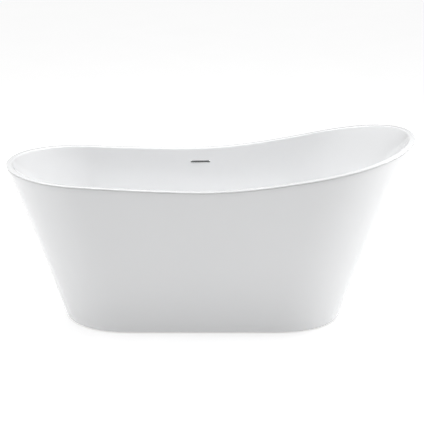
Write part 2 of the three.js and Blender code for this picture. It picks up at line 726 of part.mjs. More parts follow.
// The plastic body under the floor: it takes the barrel, the overflow branch and the outlet thread.
function wasteBody() {
  const neck = BARREL_RADIUS + GAP;
  const chamber = BODY_RADIUS - BODY_WALL;
  const chamberTop = BARREL_BOTTOM - 2;
  const body = turned([
    [neck, chamberTop], [neck, BODY_TOP], [BODY_FLANGE_RADIUS, BODY_TOP],
    [BODY_FLANGE_RADIUS, BODY_TOP - 4], [BODY_RADIUS, BODY_TOP - 8], [BODY_RADIUS, BODY_SHELF],
    [OUTLET_RADIUS, BODY_SHELF - 5], [OUTLET_RADIUS, OUTLET_HEIGHT], [OUTLET_BORE, OUTLET_HEIGHT],
    [OUTLET_BORE, BODY_SHELF], [chamber, BODY_SHELF + 4], [chamber, chamberTop - 4], [neck, chamberTop],
  ]);
  const along = (from, to, radius) => (
    rod(radius, from, to).rotateX(-Math.PI / 2).translate(0, 0, BRANCH_HEIGHT)
  );
  const branch = along(chamber + 0.5, BRANCH_REACH, SPIGOT_RADIUS);
  const bore = along(chamber - 10, BRANCH_REACH + 5, SPIGOT_RADIUS - SPIGOT_WALL);
  return placed(part('waste_body', cut(join(body, branch), bore), FINISH.plastic), WASTE_X, 0);
}

class Helix extends THREE.Curve {
  getPoint(t, target = new THREE.Vector3()) {
    const turn = 2 * Math.PI * SPRING.turns * t;
    const rise = 2 * SPRING.wire + (SPRING.height - 4 * SPRING.wire) * t;
    return target.set(SPRING.radius * Math.cos(turn), SPRING.radius * Math.sin(turn), rise);
  }
}

function roundShape(radius, sides, bore = 0) {
  const circle = (r) => Array.from({ length: sides }, (_, i) => {
    const angle = (2 * Math.PI * i) / sides;
    return new THREE.Vector2(r * Math.cos(angle), r * Math.sin(angle));
  });
  const shape = new THREE.Shape(circle(radius));
  if (bore > 0) shape.holes.push(new THREE.Path(circle(bore).reverse()));
  return shape;
}

function cartridge() {
  const top = FLANGE_TOP - PLUG_LIFT - 1;
  const thread = STEM_RADIUS;
  const bodyGeometry = turned([
    [0, HUB_BOTTOM - 2], [thread, HUB_BOTTOM - 2], [thread, HUB_TOP + GAP], [CARTRIDGE_RADIUS, HUB_TOP + GAP],
    [CARTRIDGE_RADIUS, top], [CUP_BORE, top], [CUP_BORE, CUP_FLOOR], [0, CUP_FLOOR],
  ], SMALL_ROUND);
  const wire = new THREE.ExtrudeGeometry(roundShape(SPRING.wire, 5), {
    steps: 9 * SPRING.turns, extrudePath: new Helix(), bevelEnabled: false,
  });
  return [
    placed(part('cartridge_body', bodyGeometry, FINISH.brass), WASTE_X, 0),
    placed(part('cartridge_spring', wire, FINISH.steel), WASTE_X, 0, CUP_FLOOR + GAP),
  ];
}

// The moving half of the click-clack: stem, seal and domed cap, drawn open.
function plug() {
  const stemBottom = CUP_FLOOR + 2 * GAP + SPRING.height;
  const discTop = CAP_BOTTOM - 2 * GAP - PLUG_SEAL_HEIGHT;
  const spigot = STEM_RADIUS - GAP;
  const capSocket = CAP_BOTTOM + 2.5;
  const stem = turned([
    [0, stemBottom], [STEM_RADIUS, stemBottom], [STEM_RADIUS, discTop - STEM_DISC], [15, discTop - STEM_DISC],
    [15, discTop], [spigot, discTop], [spigot, capSocket - GAP], [0, capSocket - GAP],
  ], SMALL_ROUND);
  const seal = ring(STEM_RADIUS, BARREL_BORE - 2 * GAP, discTop + GAP, CAP_BOTTOM - GAP);
  const dome = arc(4, 0, Math.PI / 2, (angle) => [
    (CAP_RADIUS - 1) * Math.cos(angle), CAP_BOTTOM + 2 + (CAP_DOME - 2) * Math.sin(angle),
  ]);
  dome[dome.length - 1][0] = 0;
  const cap = turned([
    [0, capSocket], [STEM_RADIUS, capSocket], [STEM_RADIUS, CAP_BOTTOM], [CAP_RADIUS - 1, CAP_BOTTOM],
    [CAP_RADIUS, CAP_BOTTOM + 1], ...dome,
  ]);
  return [
    placed(part('plug_stem', stem, FINISH.brass), WASTE_X, 0),
    placed(part('plug_seal', seal, FINISH.rubber), WASTE_X, 0),
    placed(part('plug_cap', cap, FINISH.chrome), WASTE_X, 0),
  ];
}

// ================= Overflow, in the rear wall =================

// The slot's own frame: origin on the bathing side of the wall, X along the wall, Y level and outwards.
function slotFrame() {
  const turn = turnAt((t) => basinWall(t, SLOT_Z, 0), WASTE_X);
  const onWall = basinWall(turn, SLOT_Z, 0);
  const step = 1e-2;
  const along = basinWall(turn + step, SLOT_Z, 0).sub(basinWall(turn - step, SLOT_Z, 0));
  const angle = Math.atan2(-along.y, along.x);
  const section = basinSection(turn);
  return { x: onWall.x, y: -onWall.y, angle, turn, lean: Math.PI / 2 - section.slope };
}

const SLOT = slotFrame();

function inSlotFrame(geometry) {
  return geometry.rotateZ(SLOT.angle).translate(SLOT.x, SLOT.y, SLOT_Z);
}

// Distance outwards from the slot's own X axis to the back of the basin and to the inside of the skirt: the
// least gap over a width along the wall.
function gapAt(height, width = 0) {
  const gaps = [-width / 2, 0, width / 2].map((along) => {
    const x = WASTE_X + along * Math.cos(SLOT.angle);
    const axis = SLOT.y + along * Math.sin(SLOT.angle);
    const wall = basinWall(turnAt((t) => basinWall(t, height, 0), x), height, SHELL_WALL);
    const skirt = skirtInside(turnAt((t) => skirtPoint(t, height), x), height, SKIRT_WALL);
    return { near: -wall.y - axis, far: -skirt.y - axis };
  });
  return { near: Math.max(...gaps.map((gap) => gap.near)), far: Math.min(...gaps.map((gap) => gap.far)) };
}

const BODY_BOTTOM = SLOT_Z - OVERFLOW_BODY.below;
const HOSE_TOP = BODY_BOTTOM - SPIGOT_SHOW;
const HOSE_END_Y = BRANCH_REACH - HOSE_GRIP;

// Middle of the gap behind the basin, level with a height.
function midGap(height) {
  const { near, far } = gapAt(height);
  return new THREE.Vector3(SLOT.x, SLOT.y + (near + far) / 2, height);
}

// The hose leans with the gap, from its top to where it bends in under the frame.
const BEND_TOP = midGap(BRANCH_HEIGHT + HOSE_BEND);
const HOSE_START = midGap(HOSE_TOP);
const HOSE_LEAN = Math.atan2(HOSE_START.y - BEND_TOP.y, HOSE_START.z - BEND_TOP.z);

// Turns a piece on the Z axis on to the hose's axis, and puts its origin at the hose's top.
function onHoseTop(geometry) {
  return geometry.rotateX(-HOSE_LEAN).translate(HOSE_START.x, HOSE_START.y, HOSE_START.z);
}

function slotTool() {
  const sleeve = 2 * (TRIM_WALL + GAP);
  return inSlotFrame(slotBar(SLOT_LENGTH + sleeve, SLOT_HEIGHT + sleeve, -20, 30));
}

function overflowTrim() {
  const sleeve = 2 * TRIM_WALL;
  const border = 2 * TRIM_BORDER;
  const { near } = gapAt(SLOT_Z, OVERFLOW_BODY.width);
  const tubeEnd = near + OVERFLOW_BODY.clearance;
  const tube = slotBar(SLOT_LENGTH + sleeve, SLOT_HEIGHT + sleeve, -TRIM_FACE, tubeEnd);
  const face = slotBar(SLOT_LENGTH + border, SLOT_HEIGHT + border, -TRIM_FACE - TRIM_BED, -TRIM_BED);
  face.rotateX(-SLOT.lean);
  const opening = slotBar(SLOT_LENGTH, SLOT_HEIGHT, -20, 30);
  return part('overflow_trim', inSlotFrame(cut(join(tube, face), opening)), FINISH.chrome);
}

function overflowBody() {
  const { width, above, below, wall, clearance, skirtClearance } = OVERFLOW_BODY;
  const [high, low] = [above, -below];
  const [atTop, atBottom] = [gapAt(SLOT_Z + high, width), gapAt(SLOT_Z + low, width)];
  const outline = (inset) => [
    [atTop.near + clearance + inset, high - inset], [atBottom.near + clearance + inset, low + inset],
    [atBottom.far - skirtClearance - inset, low + inset], [atTop.far - skirtClearance - inset, high - inset],
  ];
  const shell = extrudedAlongX(outline(0), width);
  const cavity = extrudedAlongX(outline(wall), width - 2 * wall);
  const sleeve = 2 * (TRIM_WALL + GAP);
  const mouth = slotBar(SLOT_LENGTH + sleeve, SLOT_HEIGHT + sleeve, -20, (atTop.near + atTop.far) / 2);
  const spigot = onHoseTop(rod(SPIGOT_RADIUS, -HOSE_GRIP, SPIGOT_SHOW + wall));
  const bore = onHoseTop(rod(SPIGOT_RADIUS - SPIGOT_WALL, -HOSE_GRIP - 5, SPIGOT_SHOW + 3 * wall));
  const tools = [cavity, mouth].map(inSlotFrame);
  return part('overflow_body', cut(join(inSlotFrame(shell), spigot), ...tools, bore), FINISH.plastic);
}

// A flat seal around the slot, between the back of the basin and the overflow body.
function overflowGasket() {
  const lean = Math.tan(SLOT.lean);
  const { near } = gapAt(SLOT_Z, OVERFLOW_BODY.width);
  const front = near + TRIM_BED;
  const back = near + OVERFLOW_BODY.clearance - GAP;
  const half = SLOT_HEIGHT / 2 + GASKET_BORDER;
  const sheet = extrudedAlongX([
    [front + lean * half, half], [front - lean * half, -half],
    [back - lean * half, -half], [back + lean * half, half],
  ], SLOT_LENGTH + 2 * GASKET_BORDER);
  const sleeve = 2 * (TRIM_WALL + GAP);
  const opening = slotBar(SLOT_LENGTH + sleeve, SLOT_HEIGHT + sleeve, -20, 30);
  return part('overflow_gasket', inSlotFrame(cut(sheet, opening)), FINISH.rubber);
}

// The hose follows the gap between basin and skirt, and turns in under the frame to the waste's branch. A
// heading is the angle from straight down towards the waste.
function hosePath() {
  const points = [HOSE_START.clone()];
  const run = (length, from, to) => {
    const steps = Math.ceil(length / HOSE_STEP);
    for (let i = 0; i < steps; i += 1) {
      const heading = from + ((to - from) * (i + 0.5)) / steps;
      const ahead = new THREE.Vector3(0, -Math.sin(heading), -Math.cos(heading));
      points.push(points[points.length - 1].clone().addScaledVector(ahead, length / steps));
    }
  };
  const fall = HOSE_START.z - BRANCH_HEIGHT - HOSE_BEND * (1 - Math.sin(HOSE_LEAN));
  run(fall / Math.cos(HOSE_LEAN), HOSE_LEAN, HOSE_LEAN);
  run(HOSE_BEND * (Math.PI / 2 - HOSE_LEAN), HOSE_LEAN, Math.PI / 2);
  const reach = points[points.length - 1].y - HOSE_END_Y;
  run(reach, Math.PI / 2, Math.PI / 2);
  return new THREE.CatmullRomCurve3(points, false, 'centripetal');
}

function overflowHose() {
  const shape = roundShape(HOSE_RADIUS, HOSE_SIDES, HOSE_RADIUS - HOSE_WALL);
  const hose = new THREE.ExtrudeGeometry(shape, {
    steps: 26, extrudePath: hosePath(), bevelEnabled: false,
  });
  return part('overflow_hose', hose, FINISH.hose);
}

function hoseClamp(name) {
  const { wall, width, block } = CLAMP;
  const inner = HOSE_RADIUS + GAP;
  const band = ring(inner, inner + wall, -width / 2, width / 2);
  const housing = new THREE.BoxGeometry(block, 4, width).translate(inner + wall + block / 2 - 1, 0, 0);
  return part(name, join(band, housing), FINISH.steel);
}

function hoseClamps() {
  const top = hoseClamp('hose_clamp_top');
  onHoseTop(top.geometry.translate(0, 0, -CLAMP.inset));
  const bottom = hoseClamp('hose_clamp_bottom');
  bottom.rotation.x = Math.PI / 2;
  placed(bottom, SLOT.x, HOSE_END_Y + CLAMP.inset, BRANCH_HEIGHT);
  return [top, bottom];
}

// ================= Assembly =================

const bathtub = new THREE.Group();
bathtub.add(innerShell(), outerSkirt(), rimBead());
bathtub.add(baseBoard(), longRail('front'), longRail('rear'));
bathtub.add(...CROSS_RAILS.map(crossRail), ...coachScrews());
bathtub.add(...footPlaces().flatMap(levellingFoot));
bathtub.add(...bracketPlaces().flatMap(skirtBracket));
bathtub.add(wasteFlange(), ...wasteSeals(), wasteBody(), ...cartridge(), ...plug());
bathtub.add(overflowTrim(), overflowGasket(), overflowBody(), overflowHose(), ...hoseClamps());

export default bathtub;
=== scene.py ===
# %% [markdown]
# # A freestanding slipper bath
# The bath is two acrylic shells: the basin that holds the water, and a skirt around it that reaches the
# floor. They meet in a thin line under the rim. Between them hide a steel underframe on five levelling
# feet, the waste and the overflow's hose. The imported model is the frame. Everything made here is in metres
# in that frame, so it goes where it says.

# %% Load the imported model
import json
import math

import bmesh
import bpy
import numpy as np
from mathutils import Matrix, Vector


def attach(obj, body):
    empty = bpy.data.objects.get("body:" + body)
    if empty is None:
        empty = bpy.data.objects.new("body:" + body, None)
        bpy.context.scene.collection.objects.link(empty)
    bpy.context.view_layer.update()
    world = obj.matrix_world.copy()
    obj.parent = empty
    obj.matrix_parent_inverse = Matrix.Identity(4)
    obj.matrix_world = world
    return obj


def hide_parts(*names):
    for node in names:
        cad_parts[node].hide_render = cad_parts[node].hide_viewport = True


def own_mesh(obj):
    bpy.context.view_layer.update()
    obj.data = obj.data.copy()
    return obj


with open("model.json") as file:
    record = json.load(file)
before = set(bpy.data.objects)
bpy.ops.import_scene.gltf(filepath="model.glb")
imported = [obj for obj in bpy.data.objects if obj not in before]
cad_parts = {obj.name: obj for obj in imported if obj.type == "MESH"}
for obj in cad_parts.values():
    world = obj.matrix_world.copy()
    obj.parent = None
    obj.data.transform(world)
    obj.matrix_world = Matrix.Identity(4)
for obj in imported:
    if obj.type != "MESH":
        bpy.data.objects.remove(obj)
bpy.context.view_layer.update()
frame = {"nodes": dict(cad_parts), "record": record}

scene = bpy.context.scene
scene.view_settings.view_transform = "Standard"

# %% [markdown]
# ## Camera
# A catalogue picture of a bath is taken from well back with a long lens, so that its sides look straight.
# The camera stands above the rim and looks down a little, which shows the far wall of the basin.

# %% Camera
camera = bpy.data.objects.new("camera", bpy.data.cameras.new("camera"))
camera.location = (0.0079, -7.0, 2.515)
camera.rotation_euler = (math.radians(73.5), 0, 0)
camera.data.lens = 147.06
camera.data.sensor_width = 36
scene.collection.objects.link(camera)
scene.camera = camera
print("camera", tuple(round(v, 3) for v in camera.location), camera.data.lens, "mm lens")

# %% [markdown]
# ## Shader maths as Python expressions
# A finish is a material built from nodes. `Field` wraps one output socket, so a sum of two fields adds the
# Math node for it. `Finish` owns a material: `node` adds any other node, its settings first and then its
# sockets. A group of nodes made by hand in the editor would do the same, but an expression is easier to
# read and change.

# %% Fields and finishes
class Field:
    """A number that varies over a surface: one output socket, usable in sums."""

    def __init__(self, finish, socket):
        self.finish = finish
        self.socket = socket

    def maths(self, operation, *values):
        return self.finish.node("ShaderNodeMath", {"operation": operation}, dict(enumerate(values)))

    def __add__(self, other):
        return self.maths("ADD", self, other)

    def __radd__(self, other):
        return self.maths("ADD", other, self)

    def __sub__(self, other):
        return self.maths("SUBTRACT", self, other)

    def __rsub__(self, other):
        return self.maths("SUBTRACT", other, self)

    def __mul__(self, other):
        return self.maths("MULTIPLY", self, other)

    def __rmul__(self, other):
        return self.maths("MULTIPLY", other, self)


class Nodes:
    """A node tree, to which nodes are added one by one."""

    def __init__(self, tree):
        self.tree = tree

    def node(self, kind, settings=None, inputs=None, output=0):
        made = self.tree.nodes.new(kind)
        for name, value in (settings or {}).items():
            setattr(made, name, value)
        for socket, value in (inputs or {}).items():
            self.feed(made.inputs[socket], value)
        return Field(self, made.outputs[output])

    def feed(self, socket, value):
        if isinstance(value, Field):
            self.tree.links.new(value.socket, socket)
        else:
            socket.default_value = value


class Finish(Nodes):
    """A material around one Principled shader."""

    def __init__(self, name, **constants):
        self.material = bpy.data.materials.new(name)
        self.material.use_nodes = True
        super().__init__(self.material.node_tree)
        self.shader = self.tree.nodes["Principled BSDF"]
        for socket, value in constants.items():
            self.shader.inputs[socket.replace("_", " ")].default_value = value

    def where(self):
        """Position on the piece, in metres."""
        return self.node("ShaderNodeTexCoord", output="Object")

    def noise(self, scale, detail=3, roughness=0.5, at=None):
        sockets = {"Vector": at or self.where(), "Scale": scale, "Detail": detail, "Roughness": roughness}
        return self.node("ShaderNodeTexNoise", inputs=sockets)

    def cells(self, scale, output="Distance"):
        sockets = {"Vector": self.where(), "Scale": scale}
        return self.node("ShaderNodeTexVoronoi", inputs=sockets, output=output)

    def between(self, share, first, second):
        """A colour between two colours."""
        sockets = {0: share, 6: self.shade(first), 7: self.shade(second)}
        return self.node("ShaderNodeMix", {"data_type": "RGBA"}, sockets, output=2)

    def shade(self, colour):
        return colour if isinstance(colour, Field) else (*colour, 1)

    def colour(self, value):
        self.feed(self.shader.inputs["Base Color"], self.shade(value))
        return self

    def roughness(self, value):
        self.feed(self.shader.inputs["Roughness"], value)
        return self

    def relief(self, height, depth):
        """Bumps whose height runs from 0 to 1, depth metres deep."""
        sockets = {"Height": height, "Distance": depth, "Strength": 1.0}
        self.feed(self.shader.inputs["Normal"], self.node("ShaderNodeBump", inputs=sockets))
        return self


print("fields and finishes ready")

# %% [markdown]
# ## Acrylic
# Sanitary acrylic is a cast sheet, drawn over a mould while it is hot. It is polished inside the basin and
# a little softer on the skirt. Drawing leaves a very faint waviness, which shows only where something
# bright is mirrored in it, so it goes into the bump, a few tenths of a millimetre over long distances, and
# hardly into the colour. Both shells are the same white acrylic. The skirt's copy is painted a darker white,
# which is painted shade standing in for the dimmer light on the skirt.

# %% Acrylic finishes
def acrylic(name, white, base_roughness, wave):
    made = Finish(name, IOR=1.49, Coat_Weight=0.35, Coat_Roughness=0.03, Coat_IOR=1.5)
    drawn = made.noise(5.5, detail=2)
    fine = made.noise(140, detail=2)
    made.colour(made.between(drawn, tuple(0.992 * c for c in white), white))
    made.roughness(base_roughness + 0.03 * fine)
    made.relief(drawn + 0.012 * fine, wave)
    return made.material


BASIN_ACRYLIC = acrylic("polished_acrylic", (0.86, 0.865, 0.872), 0.07, 0.00035)
# The skirt is the same acrylic as the basin, with its white painted darker: painted shade for the dimmer
# light on the skirt.
SKIRT_ACRYLIC_PAINTED_SHADE = acrylic("satin_acrylic_painted_shade", (0.745, 0.75, 0.757), 0.2, 0.0003)
print("acrylic:", BASIN_ACRYLIC.name, SKIRT_ACRYLIC_PAINTED_SHADE.name)

# %% [markdown]
# ## Glass-fibre backs
# Behind the acrylic both shells are sprayed with chopped glass fibre in resin, which stiffens them. The
# strands lie in all directions and show as short raised lines under milky resin. Stretched cells, turned by
# a noise, give such strands without modelling them.

# %% Glass-fibre finish
def strands(made, turn):
    rolled = made.node(
        "ShaderNodeVectorRotate",
        {"rotation_type": "EULER_XYZ"},
        {"Vector": made.where(), "Rotation": turn},
    )
    stretched = made.node("ShaderNodeVectorMath", {"operation": "MULTIPLY"}, {0: rolled, 1: (40, 420, 420)})
    return made.noise(1, detail=1, at=stretched)


def glass_fibre():
    made = Finish("glass_fibre_back", IOR=1.52)
    mat = strands(made, (0.4, 0.2, 0.7)) + strands(made, (1.1, 0.9, 2.1)) * 0.8
    mat = mat + strands(made, (0.2, 1.4, 1.2)) * 0.7
    made.colour(made.between(mat * 0.5, (0.42, 0.4, 0.33), (0.7, 0.69, 0.62)))
    made.roughness(0.5 - 0.15 * mat)
    made.relief(mat + made.noise(18), 0.0009)
    return made.material


FIBRE_BACK = glass_fibre()
print("backs:", FIBRE_BACK.name)

# %% [markdown]
# ## Metals
# Chrome is almost a mirror, so its only marks are a slight haze and fine polishing lines. Galvanised steel
# is the opposite: zinc crystals, the spangle, each reflect a little differently, which a cell texture
# gives. The screws are bright zinc plate, and the waste's stem and cartridge are turned brass.

# %% Metal finishes
def polished(name, tone, roughness, haze=0.03):
    made = Finish(name, Metallic=1.0)
    marks = made.noise(260, detail=4, roughness=0.7)
    made.colour(made.between(marks, tuple(0.95 * c for c in tone), tone))
    made.roughness(roughness + haze * marks)
    made.relief(made.noise(900, detail=1), 0.000004)
    return made.material


def galvanised():
    made = Finish("galvanised_steel", Metallic=0.9)
    spangle = made.cells(85, output="Color")
    grain = made.cells(85)
    tone = made.node("ShaderNodeRGBToBW", inputs={0: spangle})
    made.colour(made.between(tone, (0.42, 0.44, 0.46), (0.66, 0.68, 0.7)))
    made.roughness(0.28 + 0.25 * tone + 0.1 * made.noise(30))
    made.relief(grain + made.noise(400) * 0.3, 0.00006)
    return made.material


CHROME = polished("chrome_plate", (0.86, 0.87, 0.88), 0.05)
STAINLESS = polished("bright_stainless", (0.7, 0.7, 0.71), 0.2, 0.08)
PLATED = polished("bright_zinc_plate", (0.66, 0.68, 0.69), 0.24, 0.12)
BRASS = polished("turned_brass", (0.72, 0.54, 0.26), 0.22, 0.1)
GALVANISED = galvanised()
print("metals:", CHROME.name, STAINLESS.name, PLATED.name, BRASS.name, GALVANISED.name)

# %% [markdown]
# ## Rubber, plastic, board and adhesive
# The hidden pieces each have their own surface: matt moulded rubber on the feet and seals, sparked
# polypropylene on the waste and overflow bodies, chipboard under the floor with its chips showing through a
# coat of resin, and a pale bead of adhesive under the rim.

# %% Other finishes
def moulded(name, tone, roughness, grain_scale, grain_depth):
    made = Finish(name, IOR=1.48)
    grain = made.noise(grain_scale, detail=3, roughness=0.6)
    made.colour(made.between(grain, tuple(0.88 * c for c in tone), tone))
    made.roughness(roughness + 0.12 * grain)
    made.relief(grain, grain_depth)
    return made.material


def chipboard():
    made = Finish("sealed_chipboard", IOR=1.5, Coat_Weight=0.2, Coat_Roughness=0.3)
    chips = made.cells(190, output="Color")
    tone = made.node("ShaderNodeRGBToBW", inputs={0: chips})
    blotch = made.noise(14)
    made.colour(made.between(tone * 0.7 + blotch * 0.3, (0.3, 0.19, 0.09), (0.68, 0.52, 0.32)))
    made.roughness(0.45 + 0.3 * tone)
    made.relief(made.cells(190) + blotch, 0.0004)
    return made.material


FOOT_RUBBER = moulded("moulded_rubber", (0.03, 0.03, 0.032), 0.68, 700, 0.00005)
SEAL_RUBBER = moulded("seal_rubber", (0.045, 0.045, 0.045), 0.55, 900, 0.00003)
PIPE_PLASTIC = moulded("white_polypropylene", (0.72, 0.72, 0.7), 0.42, 800, 0.00003)
HOSE_PLASTIC = moulded("grey_hose_plastic", (0.52, 0.54, 0.56), 0.38, 500, 0.00003)
ADHESIVE = moulded("cured_adhesive", (0.68, 0.68, 0.65), 0.5, 60, 0.0006)
CHIPBOARD = chipboard()
print("others:", FOOT_RUBBER.name, PIPE_PLASTIC.name, HOSE_PLASTIC.name, ADHESIVE.name, CHIPBOARD.name)

# %% [markdown]
# ## The overflow's hose
# A corrugated plastic hose carries overflowing water from behind the slot to the waste. It runs straight
# down the gap between the two shells, then turns in under the frame. It is held at both ends, so it is made
# first, as a tube swept along a route whose route and length are the imported model's.

# %% The hose's route
SLOT_X = -0.043
HOSE_TOP = Vector((SLOT_X, 0.3168574, 0.4))
HOSE_LEAN = 0.18748
HOSE_BEND = 0.11
BRANCH_Z = 0.076  # height of the waste's side branch
HOSE_END_Y = 0.046


def hose_route(straight_steps, bend_steps):
    """Straight down at the gap's lean, round one bend and level into the waste's branch."""
    fall = HOSE_TOP.z - BRANCH_Z - HOSE_BEND * (1 - math.sin(HOSE_LEAN))
    ahead = Vector((0, -math.sin(HOSE_LEAN), -math.cos(HOSE_LEAN)))
    drop = fall / math.cos(HOSE_LEAN)
    points = [HOSE_TOP + ahead * (drop * i / straight_steps) for i in range(straight_steps + 1)]
    start = points[-1]
    for i in range(1, bend_steps + 1):
        heading = HOSE_LEAN + (math.pi / 2 - HOSE_LEAN) * i / bend_steps
        turned = Vector((0, math.cos(heading) - math.cos(HOSE_LEAN), math.sin(HOSE_LEAN) - math.sin(heading)))
        points.append(start + HOSE_BEND * turned)
    reach = points[-1].y - HOSE_END_Y
    points += [points[-1] + Vector((0, -reach * i / 8, 0)) for i in range(1, 9)]
    return points


HOSE_POINTS = hose_route(16, 12)
hose_length = sum((b - a).length for a, b in zip(HOSE_POINTS, HOSE_POINTS[1:]))
print("hose", round(hose_length, 4), "m, from", HOSE_POINTS[0], "to", HOSE_POINTS[-1])

# %% [markdown]
# ## Meshes from rings of points
# Nearly every piece of a bath is a loft: one closed ring of points after another, joined by quads. A turned
# piece is a loft of circles, a tube is a loft that comes back inside itself, and each shell is a loft of
# rings that run right around the bath. So one function makes them all. It also keeps every piece one closed
# skin, which a real solid needs.

# %% Lofts and turned pieces
def loft(rings, closed=False, finish_from=()):
    """Joins rings of equally many points. finish_from lists the rings where the next finish starts."""
    count = len(rings[0])
    mesh = bpy.data.meshes.new("loft")
    points = [tuple(p) for ring in rings for p in ring]
    pairs = [(r, (r + 1) % len(rings)) for r in range(len(rings) if closed else len(rings) - 1)]
    faces = [
        (a * count + i, a * count + (i + 1) % count, b * count + (i + 1) % count, b * count + i)
        for a, b in pairs
        for i in range(count)
    ]
    wears = [sum(a >= start for start in finish_from) for a, _ in pairs for _ in range(count)]
    if not closed:
        last = (len(rings) - 1) * count
        faces += [tuple(reversed(range(count))), tuple(range(last, last + count))]
        wears += [0, len(finish_from)]
    mesh.from_pydata(points, [], faces)
    mesh.polygons.foreach_set("material_index", wears)
    return mesh


def outward(mesh, weld=1e-7):
    """Welds doubled points and points every face out of the solid."""
    shape = bmesh.new()
    shape.from_mesh(mesh)
    bmesh.ops.remove_doubles(shape, verts=shape.verts, dist=weld)
    bmesh.ops.recalc_face_normals(shape, faces=shape.faces)
    shape.to_mesh(mesh)
    shape.free()
    return mesh


def circle(radius, height, sides=48, centre=(0, 0)):
    x, y = centre
    turns = [2 * math.pi * i / sides for i in range(sides)]
    return [Vector((x + radius * math.cos(a), y + radius * math.sin(a), height)) for a in turns]


def turned(profile, sides=48):
    """A piece turned on Z from (radius, height) points. It closes on itself unless it starts on the axis."""
    tiny = 1e-5
    rings = [circle(max(radius, tiny), height, sides) for radius, height in profile]
    return outward(loft(rings, closed=profile[0][0] > 0))


def softened(profile, radius, steps=4):
    """The closed profile with each corner rounded by up to that radius."""
    made = []
    for i, corner in enumerate(profile):
        here = Vector(corner)
        before, after = Vector(profile[i - 1]) - here, Vector(profile[(i + 1) % len(profile)]) - here
        if before.length < 1e-9 or after.length < 1e-9 or here.x <= 0:
            made.append(tuple(here))
            continue
        reach = min(radius, 0.45 * before.length, 0.45 * after.length)
        start, end = here + before.normalized() * reach, here + after.normalized() * reach
        for j in range(steps + 1):
            t = j / steps
            made.append(tuple(start.lerp(here, t).lerp(here.lerp(end, t), t)))
    return made


def eased_outline(corners, radii):
    """The closed outline with each corner replaced by a short curve that reaches this far along its sides."""
    points = []
    for i, radius in enumerate(radii):
        here, before, after = (Vector(corners[j % len(corners)]) for j in (i, i - 1, i + 1))
        start = here + (before - here).normalized() * radius
        end = here + (after - here).normalized() * radius
        points += [start.lerp(here, t).lerp(here.lerp(end, t), t) for t in (0, 0.25, 0.5, 0.75, 1)]
    return points


print("lofts ready")

# %% [markdown]
# ## Placing a piece
# Each piece stands for one node of the imported model and rides on that node's body. `place` does all of this
# in one call, so no piece can be forgotten: it shades the mesh, gives it its finishes, hides the plain
# node, and reads the body from the imported record.

# %% Place a piece
BODY_OF = {node: body for body, nodes in frame["record"]["behaviour"]["bodies"].items() for node in nodes}


def find_slots(entry):
    if isinstance(entry, dict):
        for value in entry.values():
            find_slots(value)
    elif isinstance(entry, list):
        for value in entry:
            find_slots(value)


find_slots(frame["record"])
made_pieces = {}


def place(name, mesh, finishes, node, at=(0, 0, 0), spin=0.0, crease=35):
    """Adds the mesh as the piece that stands for a node, at a point and turned about Z."""
    mesh.name = name
    mesh.transform(Matrix.Translation(at) @ Matrix.Rotation(spin, 4, "Z"))
    for finish in finishes if isinstance(finishes, (list, tuple)) else [finishes]:
        mesh.materials.append(finish)
    mesh.shade_smooth()
    mesh.set_sharp_from_angle(angle=math.radians(crease))
    made = bpy.data.objects.new(name, mesh)
    scene.collection.objects.link(made)
    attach(made, BODY_OF[node])
    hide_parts(node)
    made_pieces[name] = made
    return made


# %% [markdown]
# ## Sweeping along a route
# The hose needs a frame of directions at each step of its route. The route lies in one upright plane, so
# the plane's own normal and the route's heading give those directions without any twist. The corrugations
# are one cosine along the route; the last stretch at each end stays plain, where a clamp grips it.

def swept(points, radius_at, sides, side_axis=Vector((1, 0, 0))):
    """Rings around a route in a plane square to side_axis. radius_at takes the distance along it."""
    rings = []
    gone = 0.0
    for i, point in enumerate(points):
        if i:
            gone += (point - points[i - 1]).length
        ahead = (points[min(i + 1, len(points) - 1)] - points[max(i - 1, 0)]).normalized()
        up = ahead.cross(side_axis)
        radius = radius_at(gone)
        turns = [2 * math.pi * j / sides for j in range(sides)]
        rings.append([point + radius * (math.cos(a) * side_axis + math.sin(a) * up) for a in turns])
    return rings


HOSE_RADIUS = 0.012
CUFF = 0.019
PITCH = 0.0044


def hose_surface(inset):
    def radius_at(gone):
        plain = min(gone, hose_length - gone) < CUFF
        wave = 1.0 if plain else 0.5 + 0.5 * math.cos(2 * math.pi * (gone - CUFF) / PITCH)
        return HOSE_RADIUS - 0.00005 - 0.0011 * (1 - wave) - inset

    return radius_at


fine_route = hose_route(430, 184)  # about a tenth of a corrugation apart in the straight
outside = swept(fine_route, hose_surface(0), 28)
inside = swept(fine_route, hose_surface(0.0012), 28)
hose_mesh = outward(loft(outside + inside[::-1], closed=True))
hose = place("hose", hose_mesh, HOSE_PLASTIC, "overflow_hose", crease=80)
print("hose mesh", len(hose.data.polygons), "faces")

# %% [markdown]
# ## The bath's outlines
# Three outlines seen from above set both shells: the rim, the basin's floor and the foot of the skirt. Each
# is a straight side that turns into a superellipse, so its curvature grows gently instead of jumping as it
# would where a circle meets a line. The rim widens a little towards the head end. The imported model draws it
# with flat sides, whose corners miss the widest place, so this smooth one is 1.4 mm narrower and stays in
# the same box.

# %% Outlines
class Outline:
    """An outline from above, in metres. A turn of 0 is the foot end, half a turn the head end."""

    def __init__(self, centre, length, width, foot_straight, head_straight, rounding, spread=0.0):
        self.centre = centre
        self.half_length = length / 2
        self.half_width = width / 2
        self.foot_straight = foot_straight
        self.head_straight = head_straight
        self.rounding = rounding
        self.spread = spread

    def width_at(self, along):
        straight = self.foot_straight if along < 0 else self.head_straight
        beyond = max(0.0, (abs(along) - straight) / (self.half_length - straight))
        side = self.half_width + self.spread * along
        return side * math.sqrt(max(0.0, 1 - beyond**self.rounding))

    def point(self, turn, height=0.0):
        along = -self.half_length * math.cos(turn)
        side = -math.copysign(1, math.sin(turn)) * self.width_at(along)
        return Vector((self.centre + along, side, height))


